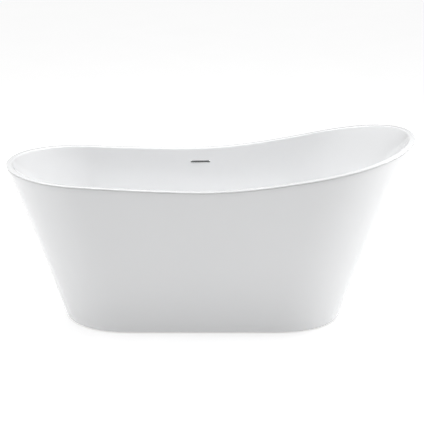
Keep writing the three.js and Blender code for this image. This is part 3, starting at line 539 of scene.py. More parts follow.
RIM = Outline(0, 1.7, 0.7452, 0.528, 0.417, 2.2, spread=0.0552)
BASE = Outline(-0.029, 1.157, 0.5604, 0.279, 0.279, 2.4)
FLOOR = Outline(-0.045, 1.04, 0.47, 0.2, 0.2, 2.3)
print("rim half-width at the middle", RIM.width_at(0), "and base", BASE.width_at(0))

# %% [markdown]
# ## The rim's sweep
# From the side the rim dips in one long curve and climbs to the head end, which gives the slipper its name.
# A hyperbola does this with one number for how soft the dip is: it is flat at the bottom and nearly
# straight at the ends. The basin and the skirt both read it, so the two shells always meet.

# %% Rim and skirt surfaces
LOW_RIM, LOW_RIM_X, FOOT_RIM, HEAD_RIM, SWEEP = 0.632, -0.064, 0.662, 0.775, 0.41
RIM_LAND, RIM_LIP, RIM_JOINT = 0.024, 0.006, 0.0008
SKIRT_WALL, SHELL_WALL, SHADOW_GAP = 0.006, 0.008, 0.006
STEP = 1e-3


def rim_height(x):
    headward = x > LOW_RIM_X
    reach = RIM.half_length + (-LOW_RIM_X if headward else LOW_RIM_X)
    rise = (HEAD_RIM if headward else FOOT_RIM) - LOW_RIM
    ease = math.hypot(abs(x - LOW_RIM_X) / reach, SWEEP) - SWEEP
    return LOW_RIM + rise * ease / (math.hypot(1, SWEEP) - SWEEP)


def rim_point(turn):
    point = RIM.point(turn)
    point.z = rim_height(point.x)
    return point


def rim_inward(turn):
    along = RIM.point(turn + STEP) - RIM.point(turn - STEP)
    return Vector((-along.y, along.x, 0)).normalized()


def skirt_point(turn, height):
    """The skirt's face, ruled from under the rim's lip to the base outline."""
    top = rim_point(turn) - Vector((0, 0, RIM_LIP + RIM_JOINT))
    return top.lerp(BASE.point(turn), (top.z - height) / top.z)


def skirt_inward(turn, height):
    along = skirt_point(turn + STEP, height) - skirt_point(turn - STEP, height)
    down = skirt_point(turn, height - 0.001) - skirt_point(turn, height)
    return along.cross(down).normalized()


def skirt_inside(turn, height, depth):
    inward = skirt_inward(turn, height)
    level = Vector((inward.x, inward.y, 0))
    return skirt_point(turn, height) + level * depth / level.length_squared


def joint_point(turn, depth, drop=0.0):
    top = rim_point(turn).z - RIM_LIP - RIM_JOINT
    inward = skirt_inward(turn, top)
    point = skirt_point(turn, top) + rim_inward(turn) * depth / math.hypot(inward.x, inward.y)
    return point + skirt_point(turn, top - drop) - skirt_point(turn, top)


ends = (-RIM.half_length, LOW_RIM_X, RIM.half_length)
print("rim height at the foot, low point and head:", [round(rim_height(x), 3) for x in ends])

# %% [markdown]
# ## The skirt
# The outer shell is drawn over its own mould, so its face is a clean ruled surface from the rim to the
# floor. It could be a subdivided cage, but a loft of the two outlines is exact. Its lower edge stands 6 mm
# off the floor, trimmed and rounded, which makes the fine dark line that the bath seems to float on.

# %% Make the skirt
AROUND = [2 * math.pi * i / 240 for i in range(240)]


def ring_of(point_at):
    return [point_at(turn) for turn in AROUND]


def skirt_face(share):
    """A ring of the outer face, from 0 just under the joint to 1 just over the lower edge."""
    edge = 0.0014

    def at(turn):
        top = rim_point(turn).z - RIM_LIP - RIM_JOINT - 0.0006
        return skirt_point(turn, top + (SHADOW_GAP + edge - top) * share)

    return ring_of(at)


EDGE = [(0.0004, 0.0004), (0, 0.0014), (0, SKIRT_WALL - 0.0014), (0.0004, SKIRT_WALL - 0.0004)]
skirt_rings = [ring_of(lambda t: joint_point(t, 0.0006)), ring_of(lambda t: joint_point(t, 0.00015, 0.00015))]
skirt_rings += [skirt_face(i / 28) for i in range(29)]
skirt_rings += [ring_of(lambda t, h=h, d=d: skirt_inside(t, SHADOW_GAP + h, d)) for h, d in EDGE]
inner_start = len(skirt_rings)
skirt_rings += [
    ring_of(lambda t, s=s: skirt_inside(t, SHADOW_GAP + 0.002 + (0.6 - SHADOW_GAP) * s, SKIRT_WALL))
    for s in (0, 0.2, 0.4, 0.6, 0.8, 0.97)
]
skirt_rings += [ring_of(lambda t: joint_point(t, SKIRT_WALL))]
skirt_mesh = outward(loft(skirt_rings, closed=True, finish_from=(inner_start,)))
# The skirt's face wears the acrylic whose white is painted darker, as painted shade.
skirt = place("skirt", skirt_mesh, [SKIRT_ACRYLIC_PAINTED_SHADE, FIBRE_BACK], "outer_skirt")
print("skirt", len(skirt.data.polygons), "faces")

# %% [markdown]
# ## The basin
# The basin is one sheet: a floor that falls to the waste, walls that lean out, and a rim rolled flat and
# turned down at its edge. Its section is worked out at 240 places around the bath and lofted. Each bend in
# the section has its own arc, so the highlight along the rim keeps an even width, as it does on a real
# moulding.

# %% The basin's section
FLOOR_Z, FLOOR_FALL, FLOOR_RADIUS, SUMP_RADIUS = 0.15, 0.004, 0.08, 0.06
INNER_EDGE, OUTER_EDGE = 0.01, 0.004
SUMP_TOP = FLOOR_Z - FLOOR_FALL
WASTE_AT = Vector((-0.043, 0, 0))


def arc(count, start, end, point_at):
    return [point_at(start + (end - start) * i / count) for i in range(count + 1)]


def basin_slope(turn):
    inward = rim_inward(turn)
    rim = rim_point(turn)
    upper = rim + inward * RIM_LAND
    level = FLOOR.point(turn, 0) - Vector((upper.x, upper.y, 0))
    run = level.length
    return rim, inward, upper, level.normalized(), run, math.atan2(upper.z - FLOOR_Z, run)


def section_point(upper, level, run, height):
    point = upper + level * run
    return Vector((point.x, point.y, height))


def basin_wall(turn, height, depth):
    """The wall at a height: depth 0 is the bathing side."""
    _, _, upper, level, _, slope = basin_slope(turn)
    run = (upper.z - height) / math.tan(slope) - depth / math.sin(slope)
    return section_point(upper, level, run, height)


def basin_section(turn):
    rim, inward, upper, level, run, slope = basin_slope(turn)
    half = math.tan(slope / 2)
    floor_end = run + FLOOR_RADIUS * half

    def around_waste(radius, height):
        away = section_point(upper, level, floor_end, 0) - WASTE_AT
        return WASTE_AT + away.normalized() * radius + Vector((0, 0, height))

    def fillet(radius, floor):
        def at(angle):
            return section_point(
                upper, level, floor_end - radius * math.sin(angle), floor + radius * (1 - math.cos(angle))
            )

        return at

    def corner(angle):
        run_in = INNER_EDGE * (math.sin(angle) - half)
        return section_point(upper, level, run_in, rim.z - INNER_EDGE * (1 - math.cos(angle)))

    def edge(angle):
        down = Vector((0, 0, OUTER_EDGE * (1 - math.sin(angle))))
        return rim + inward * OUTER_EDGE * (1 - math.cos(angle)) - down

    def floor_ring(share, drop):
        start = around_waste(SUMP_RADIUS, SUMP_TOP - drop)
        end = fillet(FLOOR_RADIUS + drop, FLOOR_Z - drop)(0)
        point = start.lerp(end, share)
        point.z = start.z + (end.z - start.z) * (0.5 * share + 0.5 * share * share * (3 - 2 * share))
        return point

    bathing = [around_waste(0.026, SUMP_TOP), around_waste(0.04, SUMP_TOP)]
    bathing += [floor_ring(share, 0) for share in (0, 0.1, 0.25, 0.5, 0.75, 0.9)]
    bathing += arc(16, 0, slope, fillet(FLOOR_RADIUS, FLOOR_Z))
    low, high = bathing[-1], corner(slope)
    bathing += [low.lerp(high, i / 14) for i in range(1, 14)]
    bathing += arc(9, slope, 0, corner) + arc(7, math.pi / 2, 0, edge)
    bathing += [rim - Vector((0, 0, RIM_LIP - 0.0005)), rim + inward * 0.0005 - Vector((0, 0, RIM_LIP))]
    under = basin_wall(turn, rim.z - RIM_LIP, SHELL_WALL)
    back_arc = arc(10, slope, 0, fillet(FLOOR_RADIUS + SHELL_WALL, FLOOR_Z - SHELL_WALL))
    hidden = [under.lerp(back_arc[0], i / 8) for i in range(8)] + back_arc
    hidden += [floor_ring(0.5, SHELL_WALL), floor_ring(0, SHELL_WALL)]
    hidden += [around_waste(radius, SUMP_TOP - SHELL_WALL) for radius in (0.026, 0.0255)]
    hidden += [around_waste(0.0255, SUMP_TOP - 0.0005)]
    return bathing, hidden


print("section of", len(basin_section(1.0)[0]), "points on the bathing side")

# %% [markdown]
# ## The overflow's slot
# The slot is sawn through the rear wall once the basin has been trimmed. A Boolean does the same here. The
# slot lies level, so it needs its own frame: its middle on the wall, its angle along the wall, and how far
# the wall leans. The trim, gasket and overflow body are drawn in that frame as well.

# %% Cutting and joining solids
def boolean(mesh, others, operation):
    """Cuts the others from the mesh, or joins them to it."""
    base = bpy.data.objects.new("base", mesh)
    scene.collection.objects.link(base)
    tools = []
    for other in others:
        tool = bpy.data.objects.new("tool", outward(other))
        scene.collection.objects.link(tool)
        modifier = base.modifiers.new("boolean", "BOOLEAN")
        modifier.operation = operation
        modifier.solver = "EXACT"
        modifier.object = tool
        tools.append(tool)
    bpy.context.view_layer.update()
    result = bpy.data.meshes.new_from_object(base.evaluated_get(bpy.context.evaluated_depsgraph_get()))
    for leftover in (base, *tools):
        bpy.data.objects.remove(leftover)
    return result


def drilled(mesh, *tools):
    return boolean(mesh, tools, "DIFFERENCE")


def joined(mesh, *others):
    return boolean(mesh, others, "UNION")


def rod(radius, bottom, top, at=(0, 0), sides=32):
    return outward(loft([circle(radius, bottom, sides, at), circle(radius, top, sides, at)]))


print("drilling and joining ready")

# %% The slot's frame, and the basin
SLOT_Z, SLOT_LENGTH, SLOT_HEIGHT = 0.574, 0.081, 0.005
TRIM_WALL, FIT = 0.0008, 0.0003


def turn_at(surface, x):
    """The turn on the front half where a surface reaches x."""
    low, high = 0.01, math.pi - 0.01
    for _ in range(40):
        middle = (low + high) / 2
        low, high = (middle, high) if surface(middle).x < x else (low, middle)
    return (low + high) / 2


slot_turn = turn_at(lambda t: basin_wall(t, SLOT_Z, 0), SLOT_X)
on_wall = basin_wall(slot_turn, SLOT_Z, 0)
beside = basin_wall(slot_turn + 0.01, SLOT_Z, 0) - basin_wall(slot_turn - 0.01, SLOT_Z, 0)
SLOT_ANGLE = math.atan2(-beside.y, beside.x)
SLOT_LEAN = math.pi / 2 - basin_slope(slot_turn)[5]
SLOT_FRAME = Matrix.Translation((on_wall.x, -on_wall.y, SLOT_Z)) @ Matrix.Rotation(SLOT_ANGLE, 4, "Z")


def stadium(grown, depth, lean=0.0, steps=10):
    """A slot-shaped ring in the slot's frame, grown all round, at a depth behind the wall's face."""
    radius = SLOT_HEIGHT / 2 + grown
    middle = SLOT_LENGTH / 2 - SLOT_HEIGHT / 2
    points = []
    for side, start in ((1, -math.pi / 2), (-1, math.pi / 2)):
        for i in range(steps + 1):
            angle = start + math.pi * i / steps
            up = radius * math.sin(angle)
            across = side * middle + radius * math.cos(angle)
            points.append(SLOT_FRAME @ Vector((across, depth + lean * up, up)))
    return points


def slot_bar(grown, start, end):
    return outward(loft([stadium(grown, start), stadium(grown, end)]))


sections = [basin_section(turn) for turn in AROUND]
bathing_count = len(sections[0][0])
columns = [bathing + hidden for bathing, hidden in sections]
basin_rings = [[column[r] for column in columns] for r in range(len(columns[0]))]
basin_mesh = outward(loft(basin_rings, closed=True, finish_from=(bathing_count - 1,)))
basin_mesh = drilled(basin_mesh, slot_bar(TRIM_WALL + FIT, -0.02, 0.03))
basin = place("basin", basin_mesh, [BASIN_ACRYLIC, FIBRE_BACK], "inner_shell")
print("basin", len(basin.data.polygons), "faces; slot at", [round(v, 4) for v in SLOT_FRAME.translation])

# %% [markdown]
# ## The bond under the rim
# The shells are bonded with adhesive run in by hand under the rim, so its lower face is a little uneven and
# slumps between the two walls. Only a thin line of it can be seen, and only from below.

# %% Make the bond
BEAD = 0.006


def bead_inner(turn, drop):
    top = rim_point(turn).z - RIM_LIP - RIM_JOINT
    return basin_wall(turn, top - drop, SHELL_WALL + 0.0006)


def bead_low(turn, share):
    """The lower face: it sags in the middle less than at the walls, and wanders as a hand does."""
    outer, inner = joint_point(turn, SKIRT_WALL + FIT, BEAD), bead_inner(turn, BEAD)
    point = outer.lerp(inner, share)
    point.z += 0.002 * 4 * share * (1 - share) + 0.0003 * math.sin(37 * turn) * math.sin(91 * turn)
    return point


bead_rings = [ring_of(lambda t: joint_point(t, SKIRT_WALL + FIT))]
bead_rings += [ring_of(lambda t, s=s: bead_low(t, s)) for s in (0, 0.2, 0.5, 0.8, 1)]
bead_rings += [ring_of(lambda t: bead_inner(t, 0))]
bond = place("rim_bond", outward(loft(bead_rings, closed=True)), ADHESIVE, "rim_bond_bead", crease=50)
print("bond", len(bond.data.polygons), "faces")

# %% [markdown]
# ## The board and its frame
# A board under the basin's floor spreads the bather's weight on to two long and three cross rails of square
# steel tube. Tube has rounded corners, because it is rolled, and an open end, so both are modelled. The
# holes are drilled as they are in the workshop, with one cutter for each.

# %% Rounded outlines and tubes
def rounded_rectangle(width, depth, radius, steps=6):
    points = []
    for quarter, (x, y) in enumerate(((1, 1), (-1, 1), (-1, -1), (1, -1))):
        centre = Vector((x * (width / 2 - radius), y * (depth / 2 - radius)))
        for i in range(steps + 1):
            angle = math.pi / 2 * (quarter + i / steps)
            points.append(centre + radius * Vector((math.cos(angle), math.sin(angle))))
    return points


def square_tube(length, size=0.03, wall=0.002):
    """A tube along X with its middle at the origin."""
    bore = size - 2 * wall
    outer, inner = rounded_rectangle(size, size, 0.0035), rounded_rectangle(bore, bore, 0.0015)
    half, ease = length / 2, 0.0003
    stations = [(outer, ease - half), (outer, half - ease), (inner, half), (inner, -half)]
    return outward(loft([[Vector((x, p.x, p.y)) for p in outline] for outline, x in stations], closed=True))


def plate(width, depth, radius, bottom, top, edge):
    rings = []
    for inset, z in ((edge, bottom), (0, bottom + edge), (0, top - edge), (edge, top)):
        outline = rounded_rectangle(width - 2 * inset, depth - 2 * inset, radius - inset, 10)
        rings.append([Vector((p.x, p.y, z)) for p in outline])
    return outward(loft(rings))


RAIL_X = {"foot": -0.4, "middle": 0.06, "head": 0.35}
RAIL_HALF = {name: BASE.width_at(x - BASE.centre) - 0.034 for name, x in RAIL_X.items()}
SIDES = {"front": -1, "rear": 1}
LONG_RAIL_Y = 0.13
BOARD_Z, LONG_RAIL_Z, CROSS_RAIL_Z = 0.1227, 0.1074, 0.0771
CROSS_TOP, CROSS_BOTTOM = 0.0921, 0.0621
FRAME_X = -0.025  # middle of the board and long rails
BOARD_LENGTH, BOARD_WIDTH, BOARD_CORNER, BOARD_THICK = 0.89, 0.33, 0.06, 0.015
LONG_RAIL = 0.82
COACH_HOLE, STUD_HOLE, SCREW_HOLE, WASTE_HOLE = 0.0043, 0.0065, 0.0033, 0.06
PAST = 0.005  # how far a drill runs past the face


def coach_holes():
    places = [(x, sign * LONG_RAIL_Y) for x in RAIL_X.values() for sign in SIDES.values()]
    return [rod(COACH_HOLE, CROSS_BOTTOM - PAST, BOARD_Z + 0.011, at, 24) for at in places]


print("cross rails", {name: round(2 * half, 3) for name, half in RAIL_HALF.items()})

# %% Make the board and rails
board_mesh = plate(BOARD_LENGTH, BOARD_WIDTH, BOARD_CORNER, BOARD_Z, BOARD_Z + BOARD_THICK, 0.001)
board_mesh.transform(Matrix.Translation((FRAME_X, 0, 0)))
waste_cut = rod(WASTE_HOLE, 0.1, 0.15, (WASTE_AT.x, 0), 64)
place("board", drilled(board_mesh, waste_cut, *coach_holes()), CHIPBOARD, "base_board")
for side, sign in SIDES.items():
    rail = square_tube(LONG_RAIL)
    rail.transform(Matrix.Translation((FRAME_X, sign * LONG_RAIL_Y, LONG_RAIL_Z)))
    place(f"long_rail_of_{side}", drilled(rail, *coach_holes()), GALVANISED, f"long_rail_{side}")

def near_rail_ends(inset):
    """A place near each end of the foot and head cross rails."""
    return {
        f"{end}_{side}": (RAIL_X[end], sign * (RAIL_HALF[end] - inset))
        for end in ("foot", "head")
        for side, sign in SIDES.items()
    }


FEET = {**near_rail_ends(0.024), "middle": (RAIL_X["middle"], 0.0)}
BRACKET_SCREWS = near_rail_ends(0.011)
for name, x in RAIL_X.items():
    rail = square_tube(2 * RAIL_HALF[name])
    rail.transform(Matrix.Translation((x, 0, CROSS_RAIL_Z)) @ Matrix.Rotation(math.pi / 2, 4, "Z"))
    holes = coach_holes()
    studs, screws = ([at for at in places.values() if at[0] == x] for places in (FEET, BRACKET_SCREWS))
    holes += [rod(STUD_HOLE, CROSS_BOTTOM - PAST, CROSS_RAIL_Z, at) for at in studs]
    holes += [rod(SCREW_HOLE, CROSS_RAIL_Z, CROSS_TOP + PAST, at) for at in screws]
    place(f"cross_rail_at_{name}", drilled(rail, *holes), GALVANISED, f"cross_rail_{name}")
print("board and", 2 + len(RAIL_X), "rails")

# %% [markdown]
# ## Threads and hexagons
# A thread is a helix: its depth at a point depends on height and angle together. Rather than twist a
# profile along a spiral, a plain turned rod gets close rings, and each of its points is pulled in by where
# it falls in the thread. A nut or bolt head is a hexagon whose corners a lathe has chamfered, so each ring
# takes the smaller of the hexagon's and the cone's radius.

# %% Threads and hexagons
def thread_rows(radius, low, high, pitch):
    rows = max(2, round(6 * (high - low) / pitch))
    return [(radius, low + (high - low) * i / rows) for i in range(rows + 1)]


def cut_thread(mesh, radius, low, high, pitch, depth):
    """Pulls the points of a round face in to a helical thread, which runs out at both ends."""
    for vertex in mesh.vertices:
        x, y, z = vertex.co
        reach = math.hypot(x, y)
        if abs(reach - radius) > 1e-5 or not low <= z <= high:
            continue
        phase = (z / pitch - math.atan2(y, x) / (2 * math.pi)) % 1
        runout = min(1.0, 2 * (z - low) / pitch, 2 * (high - z) / pitch)
        share = (reach - depth * runout * (1 - abs(2 * phase - 1))) / reach
        vertex.co.x *= share
        vertex.co.y *= share
    return mesh


def hexagon(corner, cone, height, sides=48):
    """A hexagonal ring whose corners are cut back to a cone's radius at this height."""
    points = []
    for i in range(sides):
        angle = 2 * math.pi * i / sides
        face = (angle + math.pi / 6) % (math.pi / 3) - math.pi / 6
        reach = min(cone, corner * math.cos(math.pi / 6) / math.cos(face))
        points.append(Vector((reach * math.cos(angle), reach * math.sin(angle), height)))
    return points


def hexagon_block(corner, bottom, top, chamfered=("top", "bottom"), bore=0.0):
    across = corner * math.cos(math.pi / 6)
    lift = 0.45 * (corner - 0.96 * across)
    steps = [i / 5 for i in range(6)]
    levels = []
    if "bottom" in chamfered:
        levels += [(0.96 * across + (corner - 0.96 * across) * s, bottom + lift * s) for s in steps]
    else:
        levels.append((corner, bottom))
    if "top" in chamfered:
        levels += [(0.96 * across + (corner - 0.96 * across) * s, top - lift * s) for s in reversed(steps)]
    else:
        levels.append((corner, top))
    rings = [hexagon(corner, cone, z) for cone, z in levels]
    if bore:
        rings += [circle(bore + 0.0006, top), circle(bore, top - 0.0006), circle(bore, bottom + 0.0006)]
        rings.append(circle(bore + 0.0006, bottom))
        return outward(loft(rings, closed=True))
    return outward(loft(rings))


print("threads and hexagons ready")

# %% [markdown]
# ## Coach screws, brackets and their screws
# Six coach screws go up through both rails into the board. Four steel angles stand on the cross rails' ends
# and are bonded to the skirt, so that it can't spread. An angle is bent from plate, so its outer corner is
# round and its edges are eased.

# %% Make the coach screws and brackets
def screw(radius, low, high, pitch, depth, sides=24):
    rows = thread_rows(radius, low, high - 0.0015, pitch)
    mesh = turned([(0, low)] + rows + [(0.55 * radius, high), (0, high)], sides)
    return cut_thread(mesh, radius, low + 0.001, high - 0.0015, pitch, depth)


for end, x in RAIL_X.items():
    for side, sign in SIDES.items():
        under = CROSS_BOTTOM - FIT
        head = hexagon_block(0.0075, under - 0.0055, under, chamfered=("bottom",))
        shank = screw(0.004, under - 0.001, BOARD_Z + 0.01, 0.003, 0.0008)
        name, at = f"{end}_{side}", (x, sign * LONG_RAIL_Y, 0)
        place(f"coach_screw_at_{name}", joined(head, shank), PLATED, f"coach_screw_{name}", at=at)

PLATE, REACH, TALL, WIDE = 0.003, 0.074, 0.036, 0.032


def angle_profile(lean):
    """The bracket's section: a foot towards the inside and an upright that leans with the skirt."""
    corners = [(0, 0), (TALL * lean, TALL), (TALL * lean - PLATE, TALL), (PLATE * lean - PLATE, PLATE)]
    corners += [(-REACH, PLATE), (-REACH, 0)]
    return eased_outline(corners, [0.0042, 0.0006, 0.0006, 0.0012, 0.0006, 0.0006])


def recess_bar(length, width, seat):
    """One arm of a screw's cross recess, wider at its mouth."""
    corners = ((length, width), (-length, width), (-length, -width), (length, -width))
    levels = ((seat, 0.6), (seat + 0.004, 1.2))
    return outward(loft([[Vector((x * grown, y * grown, z)) for x, y in corners] for z, grown in levels]))


for name, (x, y) in BRACKET_SCREWS.items():
    sign = math.copysign(1, y)
    bottom = CROSS_TOP + FIT
    turn = turn_at(lambda t: skirt_point(t, bottom), x)
    low, high = (skirt_inside(turn, z, SKIRT_WALL + 0.002) for z in (bottom, bottom + TALL))
    inward = skirt_inward(turn, bottom)
    inward = Vector((inward.x, inward.y, 0)).normalized()
    lean = -(high - low).dot(inward) / TALL
    facing = math.atan2(inward.x, sign * inward.y)
    foot = Matrix.Translation((low.x, -sign * low.y, bottom)) @ Matrix.Rotation(facing, 4, "Z")
    section = angle_profile(lean)
    angle_mesh = outward(loft([[Vector((e, p.x, p.y)) for p in section] for e in (-WIDE / 2, WIDE / 2)]))
    angle_mesh.transform(foot)
    hole = rod(SCREW_HOLE, bottom - PAST, bottom + 0.008, (x, y), 24)
    bracket = place(f"bracket_at_{name}", drilled(angle_mesh, hole), GALVANISED, f"skirt_bracket_{name}")
    eased = bracket.modifiers.new("eased edges", "BEVEL")
    eased.width = 0.0004
    eased.segments = 2
    eased.angle_limit = math.radians(50)
    seat = bottom + PLATE + FIT
    pan_profile = [(0, seat), (0.0055, seat), (0.0055, seat + 0.0035), (0, seat + 0.0035)]
    pan = turned(softened(pan_profile, 0.0018), 32)
    shank = screw(0.003, -0.001, 0.014, 0.0022, 0.0006)
    shank.transform(Matrix.Translation((0, 0, seat)) @ Matrix.Rotation(math.pi, 4, "X"))
    recess = [recess_bar(*arms, seat + 0.0014) for arms in ((0.0027, 0.0006), (0.0006, 0.0027))]
    whole = drilled(joined(pan, shank), *recess)
    place(f"bracket_screw_at_{name}", whole, PLATED, f"bracket_screw_{name}", at=(x, y, 0))
print("coach screws, brackets and screws made")

# %% [markdown]
# ## Levelling feet
# Each foot is a rubber pad on the floor, an M12 stud that turns in it, and a lock nut against the rail. The
# pad is moulded with grooves underneath for grip. Turning a stud lifts or lowers its corner of the bath, so
# pad, stud and nut ride on three different bodies.

# %% Make the feet
STUD, PAD_SOCKET, PAD_TOP = 0.006, 0.005, 0.014
STUD_TOP = CROSS_BOTTOM + 0.03 - 0.002 - 0.003


def pad_profile():
    grooves = []
    for middle in (0.006, 0.010, 0.014, 0.018):
        grooves += [(middle - 0.0008, 0), (middle - 0.0006, 0.0009)]
        grooves += [(middle + 0.0006, 0.0009), (middle + 0.0008, 0)]
    outside = [(0.022, 0), (0.024, 0.002), (0.024, 0.004), (0.0115, 0.0096), (0.0095, 0.011)]
    outside.append((0.0095, PAD_TOP))
    socket = [(0.0065, PAD_TOP), (0.0065, PAD_SOCKET), (0, PAD_SOCKET)]
    return softened([(0, 0)] + grooves + outside + socket, 0.0007, 3)


for name, (x, y) in FEET.items():
    place(f"pad_of_{name}", turned(pad_profile(), 64), FOOT_RUBBER, f"foot_pad_{name}", at=(x, y, 0))
    foot_stud = screw(STUD, PAD_SOCKET + FIT, STUD_TOP, 0.00175, 0.00105, 32)
    place(f"stud_of_{name}", foot_stud, PLATED, f"foot_stud_{name}", at=(x, y, 0))
    nut = hexagon_block(0.0105, CROSS_BOTTOM - FIT - 0.007, CROSS_BOTTOM - FIT, bore=STUD + 0.0005)
    place(f"lock_nut_of_{name}", nut, PLATED, f"foot_lock_nut_{name}", at=(x, y, 0), spin=0.3)
print(len(FEET), "feet, studs", round(STUD_TOP - PAD_SOCKET, 4), "m")

# %% [markdown]
# ## The waste
# The chromed flange drops through the floor and screws into the plastic body below, with a seal on each
# side of the acrylic. A four-armed bridge in its barrel holds the click cartridge. All of it is turned
# work, so it comes from profiles with their corners softened, and the bridge is joined on.

# %% Make the flange, seals and body
FLANGE_TOP = 0.1511
BARREL_BOTTOM = 0.0971
BARREL, BARREL_BORE = 0.0225, 0.019
BRANCH_BORE = 0.0075
SPIGOT = 0.0095
FLANGE_UNDER = 0.1481
BARREL_THREAD, BARREL_PITCH = (BARREL_BOTTOM + 0.001, 0.134), 0.002
OUTLET, OUTLET_BORE, OUTLET_THREAD, OUTLET_PITCH = 0.0239, 0.019, (0.036, 0.05), 0.0023


def ring_piece(inner, outer, bottom, top, ease):
    return turned(softened([(inner, bottom), (outer, bottom), (outer, top), (inner, top)], ease), 72)


def bar(length, width, bottom, top):
    corners = [Vector((x * length / 2, y * width / 2)) for x, y in ((1, 1), (-1, 1), (-1, -1), (1, -1))]
    return outward(loft([[Vector((p.x, p.y, z)) for p in corners] for z in (bottom, top)]))


barrel_thread = thread_rows(BARREL, *BARREL_THREAD, BARREL_PITCH)
flange_profile = [(BARREL_BORE, BARREL_BOTTOM + 0.0005), (BARREL - 0.001, BARREL_BOTTOM)] + barrel_thread
flange_profile += [(BARREL, FLANGE_UNDER)]
lip = [(0.035, FLANGE_UNDER), (0.035, 0.1491), (0.0325, FLANGE_TOP), (0.0205, FLANGE_TOP)]
flange_profile += softened(lip, 0.0006)
flange_profile += [(BARREL_BORE + 0.0005, FLANGE_TOP - 0.0004), (BARREL_BORE, FLANGE_TOP - 0.0012)]
flange_body = cut_thread(turned(flange_profile, 72), BARREL, *BARREL_THREAD, BARREL_PITCH, 0.0009)
arms = [bar(*sides, 0.1032, 0.109) for sides in ((0.0395, 0.003), (0.003, 0.0395))]
bridge = joined(rod(0.008, 0.1031, 0.1091), *arms)
bridge = drilled(bridge, rod(0.0046, 0.09, 0.12))
place("waste_rim", joined(flange_body, bridge), CHROME, "waste_flange", at=WASTE_AT)
upper_seal = ring_piece(0.0228, 0.034, 0.1463, 0.1478, 0.0005)
lower_seal = ring_piece(0.0228, 0.04, 0.1347, 0.1377, 0.0012)
place("seal_over_floor", upper_seal, SEAL_RUBBER, "flange_seal", at=WASTE_AT)
place("seal_under_floor", lower_seal, SEAL_RUBBER, "floor_seal", at=WASTE_AT)

shell = [(0.0228, 0.0951), (0.0228, 0.1344), (0.042, 0.1344), (0.042, 0.1304), (0.032, 0.1264)]
shell += [(0.032, 0.058), (OUTLET, 0.053)] + thread_rows(OUTLET, *OUTLET_THREAD, OUTLET_PITCH)[::-1]
shell += [(0.0232, 0.035), (OUTLET_BORE, 0.035), (OUTLET_BORE, 0.058), (0.029, 0.062), (0.029, 0.0911)]
body_mesh = cut_thread(turned(shell, 72), OUTLET, *OUTLET_THREAD, OUTLET_PITCH, 0.0011)
level = Matrix.Translation((0, 0, BRANCH_Z)) @ Matrix.Rotation(-math.pi / 2, 4, "X")
branch, branch_bore = rod(SPIGOT, 0.0295, 0.062), rod(BRANCH_BORE, 0.019, 0.067)
for tube in (branch, branch_bore):
    tube.transform(level)
chamber = drilled(joined(body_mesh, branch), branch_bore)
place("waste_chamber", chamber, PIPE_PLASTIC, "waste_body", at=WASTE_AT)
print("flange, seals and body made")

# %% [markdown]
# ## The click cartridge and its plug
# Pressing the plug pushes its stem down against a spring in the brass cup, where it clicks and holds. The
# cap is a low dome over a rubber ring. The spring is a real helix, made at its full height; on the real waste
# it flattens as the plug goes down.

# %% Make the cartridge, spring and plug
cup = [(0, 0.1011), (0.0043, 0.1011), (0.0043, 0.1094), (0.007, 0.1094), (0.007, 0.1421), (0.0049, 0.1421)]
cup += [(0.0049, 0.1114), (0, 0.1114)]
place("click_cup", turned(softened(cup, 0.0004, 3), 48), BRASS, "cartridge_body", at=WASTE_AT)

SPRING_FOOT, SPRING_TALL, SPRING_SHORT, SPRING_TURNS = 0.1117, 0.018, 0.01, 6
SPRING_RADIUS, WIRE = 0.0031, 0.0006


def spring_rings(steps=288, sides=10):
    rings = []
    for i in range(steps + 1):
        share = i / steps
        angle = 2 * math.pi * SPRING_TURNS * share
        out = Vector((math.cos(angle), math.sin(angle), 0))
        height = SPRING_FOOT + 2 * WIRE + (SPRING_TALL - 4 * WIRE) * share
        middle = out * SPRING_RADIUS + Vector((0, 0, height))
        turns = [2 * math.pi * j / sides for j in range(sides)]
        rings.append([middle + WIRE * (math.cos(a) * out + math.sin(a) * Vector((0, 0, 1))) for a in turns])
    return rings


spring_mesh = outward(loft(spring_rings()))
spring = place("click_spring", spring_mesh, STAINLESS, "cartridge_spring", at=WASTE_AT, crease=60)
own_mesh(spring)

stem = [(0, 0.13), (0.0043, 0.13), (0.0043, 0.1531), (0.015, 0.1531), (0.015, 0.1561), (0.004, 0.1561)]
stem += [(0.004, 0.1616), (0, 0.1616)]
place("click_stem", turned(softened(stem, 0.0005, 3), 48), BRASS, "plug_stem", at=WASTE_AT)
place("plug_ring", ring_piece(0.0043, 0.0184, 0.1564, 0.1591, 0.0011), SEAL_RUBBER, "plug_seal", at=WASTE_AT)

CAP_BOTTOM = 0.1594
quarter = np.linspace(0, math.pi / 2, 17)
dome = [(0.03 * math.cos(a), CAP_BOTTOM + 0.002 + 0.004 * math.sin(a)) for a in quarter]
dome[-1] = (0, dome[-1][1])
cap = [(0, CAP_BOTTOM + 0.0025), (0.0043, CAP_BOTTOM + 0.0025), (0.0043, CAP_BOTTOM), (0.0298, CAP_BOTTOM)]
cap += [(0.0306, CAP_BOTTOM + 0.0002), (0.031, CAP_BOTTOM + 0.0008), (0.0308, CAP_BOTTOM + 0.0015)] + dome
place("plug_top", turned(cap, 96), CHROME, "plug_cap", at=WASTE_AT)
print("plug", len(made_pieces["plug_top"].data.polygons), "faces on its cap")

# %% [markdown]
# ## The overflow
# Behind the slot a flat plastic box catches the water and leads it to the hose. From inside the bath only
# the thin chromed trim shows: a lip that lies on the leaning wall, and a sleeve through it. The trim is a
# loft of slot-shaped rings, exactly as a turned piece is a loft of circles.

# %% Make the trim, gasket and box
TRIM_END = 0.0080375 + 0.0024


